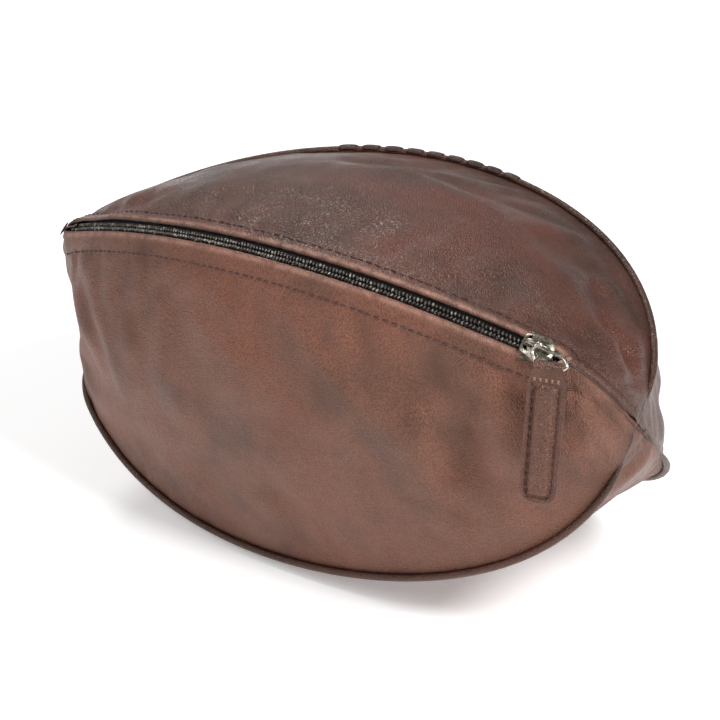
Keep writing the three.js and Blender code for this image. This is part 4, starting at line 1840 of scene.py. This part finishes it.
def smooth_line(knots: list[Vector], steps: int) -> list[Vector]:
    """Runs a Catmull-Rom line through knots.

    Args:
        knots: The knots.
        steps: Points from each knot to the next.

    Returns:
        The points.
    """
    padded = [knots[0] * 2 - knots[1], *knots, knots[-1] * 2 - knots[-2]]
    line = []
    for a, b, c, d in zip(padded, padded[1:], padded[2:], padded[3:]):
        for step in range(steps):
            t = step / steps
            square = (2 * a - 5 * b + 4 * c - d) * t**2
            cube = (3 * b - a - 3 * c + d) * t**3
            line.append(0.5 * (2 * b + (c - a) * t + square + cube))
    line.append(knots[-1].copy())
    return line


@dataclass
class Puller:
    """The leather tab on the bail: a folded neck, a stitched border and a padded middle."""

    slider: Slider
    length: float = 50.0
    width: float = 13.8
    neck: float = 10.6
    top: float = 2.6
    border: float = 2.7
    stitch_margin: float = 1.75
    pad_from: float = 5.6
    pad: float = 1.7
    half_thickness: float = 1.8
    fold: float = 2.55
    stitch_pitch: float = 3.4

    def half_width(self, down: float) -> float:
        """Gives half the tab's width.

        Args:
            down: Distance under the bail's base.

        Returns:
            The half width.
        """
        share = min(max((down - 1.0) / 5.0, 0.0), 1.0)
        share = share * share * (3 - 2 * share)
        half = (self.neck + (self.width - self.neck) * share) / 2
        end = half * 0.9
        past = (down - (self.length - end)) / end
        if past > 0:
            half *= max(0.02, 1 - min(1.0, past) ** 2.6) ** 0.4
        return half

    def face(self, side: float, down: float) -> float:
        """Gives how far the front stands out.

        Args:
            side: Place across, from -1 to 1.
            down: Distance under the bail's base.

        Returns:
            The distance from the tab's middle plane.
        """
        if down < 0:
            return math.sqrt(max(0.02, self.fold**2 - (down * self.fold / self.top) ** 2))
        flat = self.fold + (self.half_thickness - self.fold) * min(1.0, down / 7.0)
        half = self.half_width(down)
        inner = half - abs(side) * half
        from_end = min(inner, self.length - down)
        rise = min(max((from_end - self.border + 0.4) / 1.9, 0.0), 1.0)
        rise *= min(max((down - self.pad_from) / 2.2, 0.0), 1.0)
        rise = rise * rise * (3 - 2 * rise)
        wave = math.sin(down * 2.3 + 1.3 * math.sin(side * 2 + down * 0.4))
        ripple = 0.14 * wave * noise.noise(Vector((down * 0.33, side, 2.0)))
        hollow = 0.2 * noise.noise(Vector((side * 2.2, down * 0.13, 9.0)))
        sewn = 1.0 if down > self.pad_from else 0.0
        channel = 0.3 * math.exp(-(((from_end - self.border + 0.5) / 0.45) ** 2)) * sewn
        dome = 0.75 * (1 - side * side)
        return flat + (self.pad - 0.5 + dome + ripple * 2.6 + hollow) * rise - channel

    def point(self, side: float, down: float, lift: float = 0.0) -> Vector:
        """Gives a point on the tab's front.

        Args:
            side: Place across, from -1 to 1.
            down: Distance under the bail's base.
            lift: Distance off the face.

        Returns:
            The point, in millimetres about the chord.
        """
        spot = Vector((side * self.half_width(down), -self.face(side, down) - lift, -down))
        return self.slider.puller_axes() @ spot

    def build(self) -> list[bpy.types.Object]:
        """Makes the tab and its stitches.

        Returns:
            The pieces.
        """
        form = self.slider.form
        rows = []
        for step in np.linspace(0.0, 1.0, 130):
            down = -self.top + (self.length + self.top) * step
            rows.append([self.point(side, down) for side in np.sin(np.linspace(-1, 1, 41) * math.pi / 2)])
        points = np.array(rows)
        hang = self.slider.puller_axes()
        facing = np.cross(points[61, 20] - points[60, 20], points[60, 21] - points[60, 20])
        if facing @ np.array(hang.to_3x3() @ Vector((0.0, -1.0, 0.0))) < 0:
            points = points[:, ::-1]
        tab = grid("puller_tab", points, form, PULLER_LEATHER.material())
        thicken(tab, 2 * self.half_thickness - 0.3)
        self.slider.soften(tab, 0.5)
        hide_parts("puller_leather", "puller_core")
        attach(tab, Body.PULLER.value)
        matrices = self.border_stitches()
        dark = blobs("puller_stitches", matrices, form, DARK_THREAD.material())
        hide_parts("puller_thread")
        cross = []
        for index in range(5):
            side = -0.68 + index * 0.34
            for lean in (-30.0, 30.0):
                spot = self.point(side, self.pad_from - 1.6, 0.05)
                turn = Matrix.Rotation(math.radians(90 + lean), 4, "Y")
                put = Matrix.Translation(spot) @ hang.to_3x3().to_4x4() @ turn
                cross.append(put @ Matrix.Diagonal((0.95, 0.24, 0.26, 1.0)))
        tan = blobs("puller_cross_stitches", cross, form, TAN_THREAD.material())
        for piece in (dark, tan):
            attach(piece, Body.PULLER.value)
        return [tab, dark, tan]

    def border_stitches(self) -> list[Matrix]:
        """Places the stitches round the border.

        Returns:
            A matrix for each.
        """
        line = []
        downs = np.linspace(self.pad_from, self.length - self.stitch_margin, 160)
        for sign in (-1, 1):
            run = []
            for down in downs:
                half = self.half_width(down)
                run.append((sign * max(0.0, half - self.stitch_margin) / half, down))
            line.extend(run if sign < 0 else run[::-1])
        matrices, travelled, due = [], 0.0, 0.0
        out = self.slider.puller_axes().to_3x3() @ Vector((0.0, -1.0, 0.0))
        before = self.point(*line[0])
        for side, down in line[1:]:
            spot = self.point(side, down, 0.08)
            travelled += (spot - before).length
            if travelled >= due and (spot - before).length > 1e-4:
                matrices.append(axes(spot, spot - before, out, Vector((1.3, 0.36, 0.36))))
                due += self.stitch_pitch
            before = spot
        return matrices


# ---------------------------------------------------------------------------- stage


@dataclass
class Studio:
    """Plain pale floor, soft lights and the camera."""

    form: Form
    azimuth: float = 37.0
    elevation: float = 26.3
    distance: float = 900.0
    lens: float = 114.2
    shift_right: float = 13.0
    shift_up: float = -14.5
    floor_glow: float = 0.28
    world_strength: float = 0.24
    sensor: float = 36.0

    def floor(self) -> None:
        """Makes the floor."""
        shape = bmesh.new()
        bmesh.ops.create_grid(shape, x_segments=1, y_segments=1, size=4.0)
        graph = Graph("floor")
        graph.feed(graph.shader, {"Base Color": opaque((0.93, 0.93, 0.93)), "Roughness": 0.9})
        glow = {"Emission Color": opaque((1.0, 1.0, 1.0)), "Emission Strength": self.floor_glow}
        graph.feed(graph.shader, glow)
        floor = finished("floor", shape, graph.material, smooth=False)

    def light(
        self,
        name: str,
        azimuth: float,
        elevation: float,
        away: float,
        size: float,
        power: float,
        tint: Colour = (1.0, 1.0, 1.0),
    ) -> None:
        """Adds a soft area light that faces the bag.

        Args:
            name: Its name.
            azimuth: Its direction round the bag, as the camera's.
            elevation: Its direction over the horizon.
            away: Its distance in metres.
            size: Its width in metres.
            power: Its power in watts.
            tint: Its colour.
        """
        lamp = bpy.data.lights.new(name, "AREA")
        lamp.shape = "DISK"
        lamp.size = size
        lamp.energy = power
        lamp.color = tint
        holder = bpy.data.objects.new(name, lamp)
        back = direction(azimuth, elevation)
        holder.location = Vector((0.0, 0.0, 0.07)) + back * away
        holder.rotation_euler = back.to_track_quat("Z", "Y").to_euler()
        bpy.context.collection.objects.link(holder)

    def camera(self) -> None:
        """Adds the camera."""
        back = direction(self.azimuth, self.elevation)
        turn = math.radians(self.azimuth)
        right = Vector((math.cos(turn), math.sin(turn), 0.0))
        up = back.cross(right)
        spot = self.form.metres(right * self.shift_right + up * self.shift_up + back * self.distance)
        lens = bpy.data.cameras.new("camera")
        lens.lens = self.lens
        lens.sensor_width = self.sensor
        lens.clip_end = 50.0
        holder = bpy.data.objects.new("camera", lens)
        holder.location = spot
        holder.rotation_euler = Matrix((right, up, back)).transposed().to_euler()
        bpy.context.collection.objects.link(holder)
        bpy.context.scene.camera = holder

    def build(self) -> None:
        """Sets the stage."""
        self.floor()
        world = bpy.data.worlds.new("studio")
        world.use_nodes = True
        backdrop = world.node_tree.nodes["Background"].inputs
        backdrop["Color"].default_value = (1.0, 1.0, 1.0, 1.0)
        backdrop["Strength"].default_value = self.world_strength
        bpy.context.scene.world = world
        bpy.context.scene.view_settings.view_transform = "Standard"
        self.light("key", 78.0, 44.0, 1.3, 0.36, 16.0)
        self.light("fill", -20.0, 42.0, 1.6, 0.9, 8.0)
        self.light("rim", -125.0, 48.0, 1.4, 0.6, 7.5)
        self.camera()


def direction(azimuth: float, elevation: float) -> Vector:
    """Gives the way from the bag towards a viewer.

    Args:
        azimuth: 0 in front, 90 at the right.
        elevation: Over the horizon.

    Returns:
        A unit vector.
    """
    turn, lift = math.radians(azimuth), math.radians(elevation)
    return Vector((math.sin(turn) * math.cos(lift), -math.cos(turn) * math.cos(lift), math.sin(lift)))


def main() -> None:
    """Builds the bag and its stage."""
    logging.basicConfig(level=logging.INFO, format="%(message)s")
    form = Form()
    shell = Shell(form, creases=CREASES)
    shell.build()
    piping = Piping(shell)
    piping.build()
    LaceRow(piping).build()
    Zip(shell).build()
    slider = Slider(form)
    slider.build()
    Puller(slider).build()
    Studio(form).build()


CREASES: tuple[Crease, ...] = (
    Crease(Panel.FRONT, (1.73, 0.15), (1.91, 0.35), 3.2, 1.4),
    Crease(Panel.FRONT, (1.8, 0.3), (1.97, 0.42), 2.4, 0.8),
    Crease(Panel.FRONT, (2.15, 0.3), (2.2, 0.62), 10.0, 6.5),
    Crease(Panel.FRONT, (0.74, 0.3), (0.97, 0.6), 4.2, 2.4),
    Crease(Panel.FRONT, (1.28, 0.2), (1.6, 0.25), 4.0, 0.9),
    Crease(Panel.FRONT, (1.47, 0.7), (1.7, 0.8), 5.0, 0.9),
    Crease(Panel.FRONT, (1.13, 0.1), (1.2, 0.6), 5.5, 1.1),
    Crease(Panel.FRONT, (2.72, 0.1), (2.96, 0.6), 3.0, 1.0),
    Crease(Panel.FRONT, (1.5, 0.42), (1.78, 0.52), 3.5, 0.6),
    Crease(Panel.FRONT, (2.02, 0.7), (2.35, 0.78), 4.5, 0.8),
    Crease(Panel.FRONT, (0.95, 0.15), (1.02, 0.32), 2.6, 0.7),
    Crease(Panel.TOP, (1.75, 0.475), (1.99, 0.5), 4.0, 1.0),
    Crease(Panel.TOP, (2.09, 0.9), (2.51, 0.87), 3.6, 1.2),
    Crease(Panel.TOP, (2.38, 0.55), (2.78, 0.65), 4.6, 2.8),
    Crease(Panel.TOP, (2.3, 0.42), (2.7, 0.38), 5.0, 2.2),
    Crease(Panel.TOP, (2.2, 0.7), (2.45, 0.6), 3.0, 0.9),
    Crease(Panel.TOP, (2.45, 0.3), (2.72, 0.2), 3.2, 0.8),
    Crease(Panel.TOP, (1.2, 0.2), (1.55, 0.16), 6.0, 0.8),
    Crease(Panel.TOP, (0.65, 0.1), (1.02, 0.23), 5.0, 1.2),
    Crease(Panel.TOP, (1.3, 0.6), (1.6, 0.7), 5.0, 0.9),
    Crease(Panel.TOP, (1.45, 0.4), (1.7, 0.3), 3.0, 0.6),
    Crease(Panel.BASE, (2.88, 0.95), (3.01, 0.05), 3.0, 1.6),
    Crease(Panel.BASE, (2.75, 0.95), (2.9, 0.38), 3.6, 2.0),
    Crease(Panel.BASE, (0.35, 0.9), (0.5, 0.3), 4.0, 1.6),
    Crease(Panel.BACK, (0.6, 0.3), (0.9, 0.6), 5.0, 1.8),
    Crease(Panel.BACK, (1.3, 0.25), (1.5, 0.6), 7.0, 1.6),
    Crease(Panel.BACK, (1.9, 0.35), (2.2, 0.3), 5.0, 1.2),
    Crease(Panel.BACK, (2.4, 0.6), (2.7, 0.35), 4.5, 1.8),
)


if __name__ == "__main__":
    main()
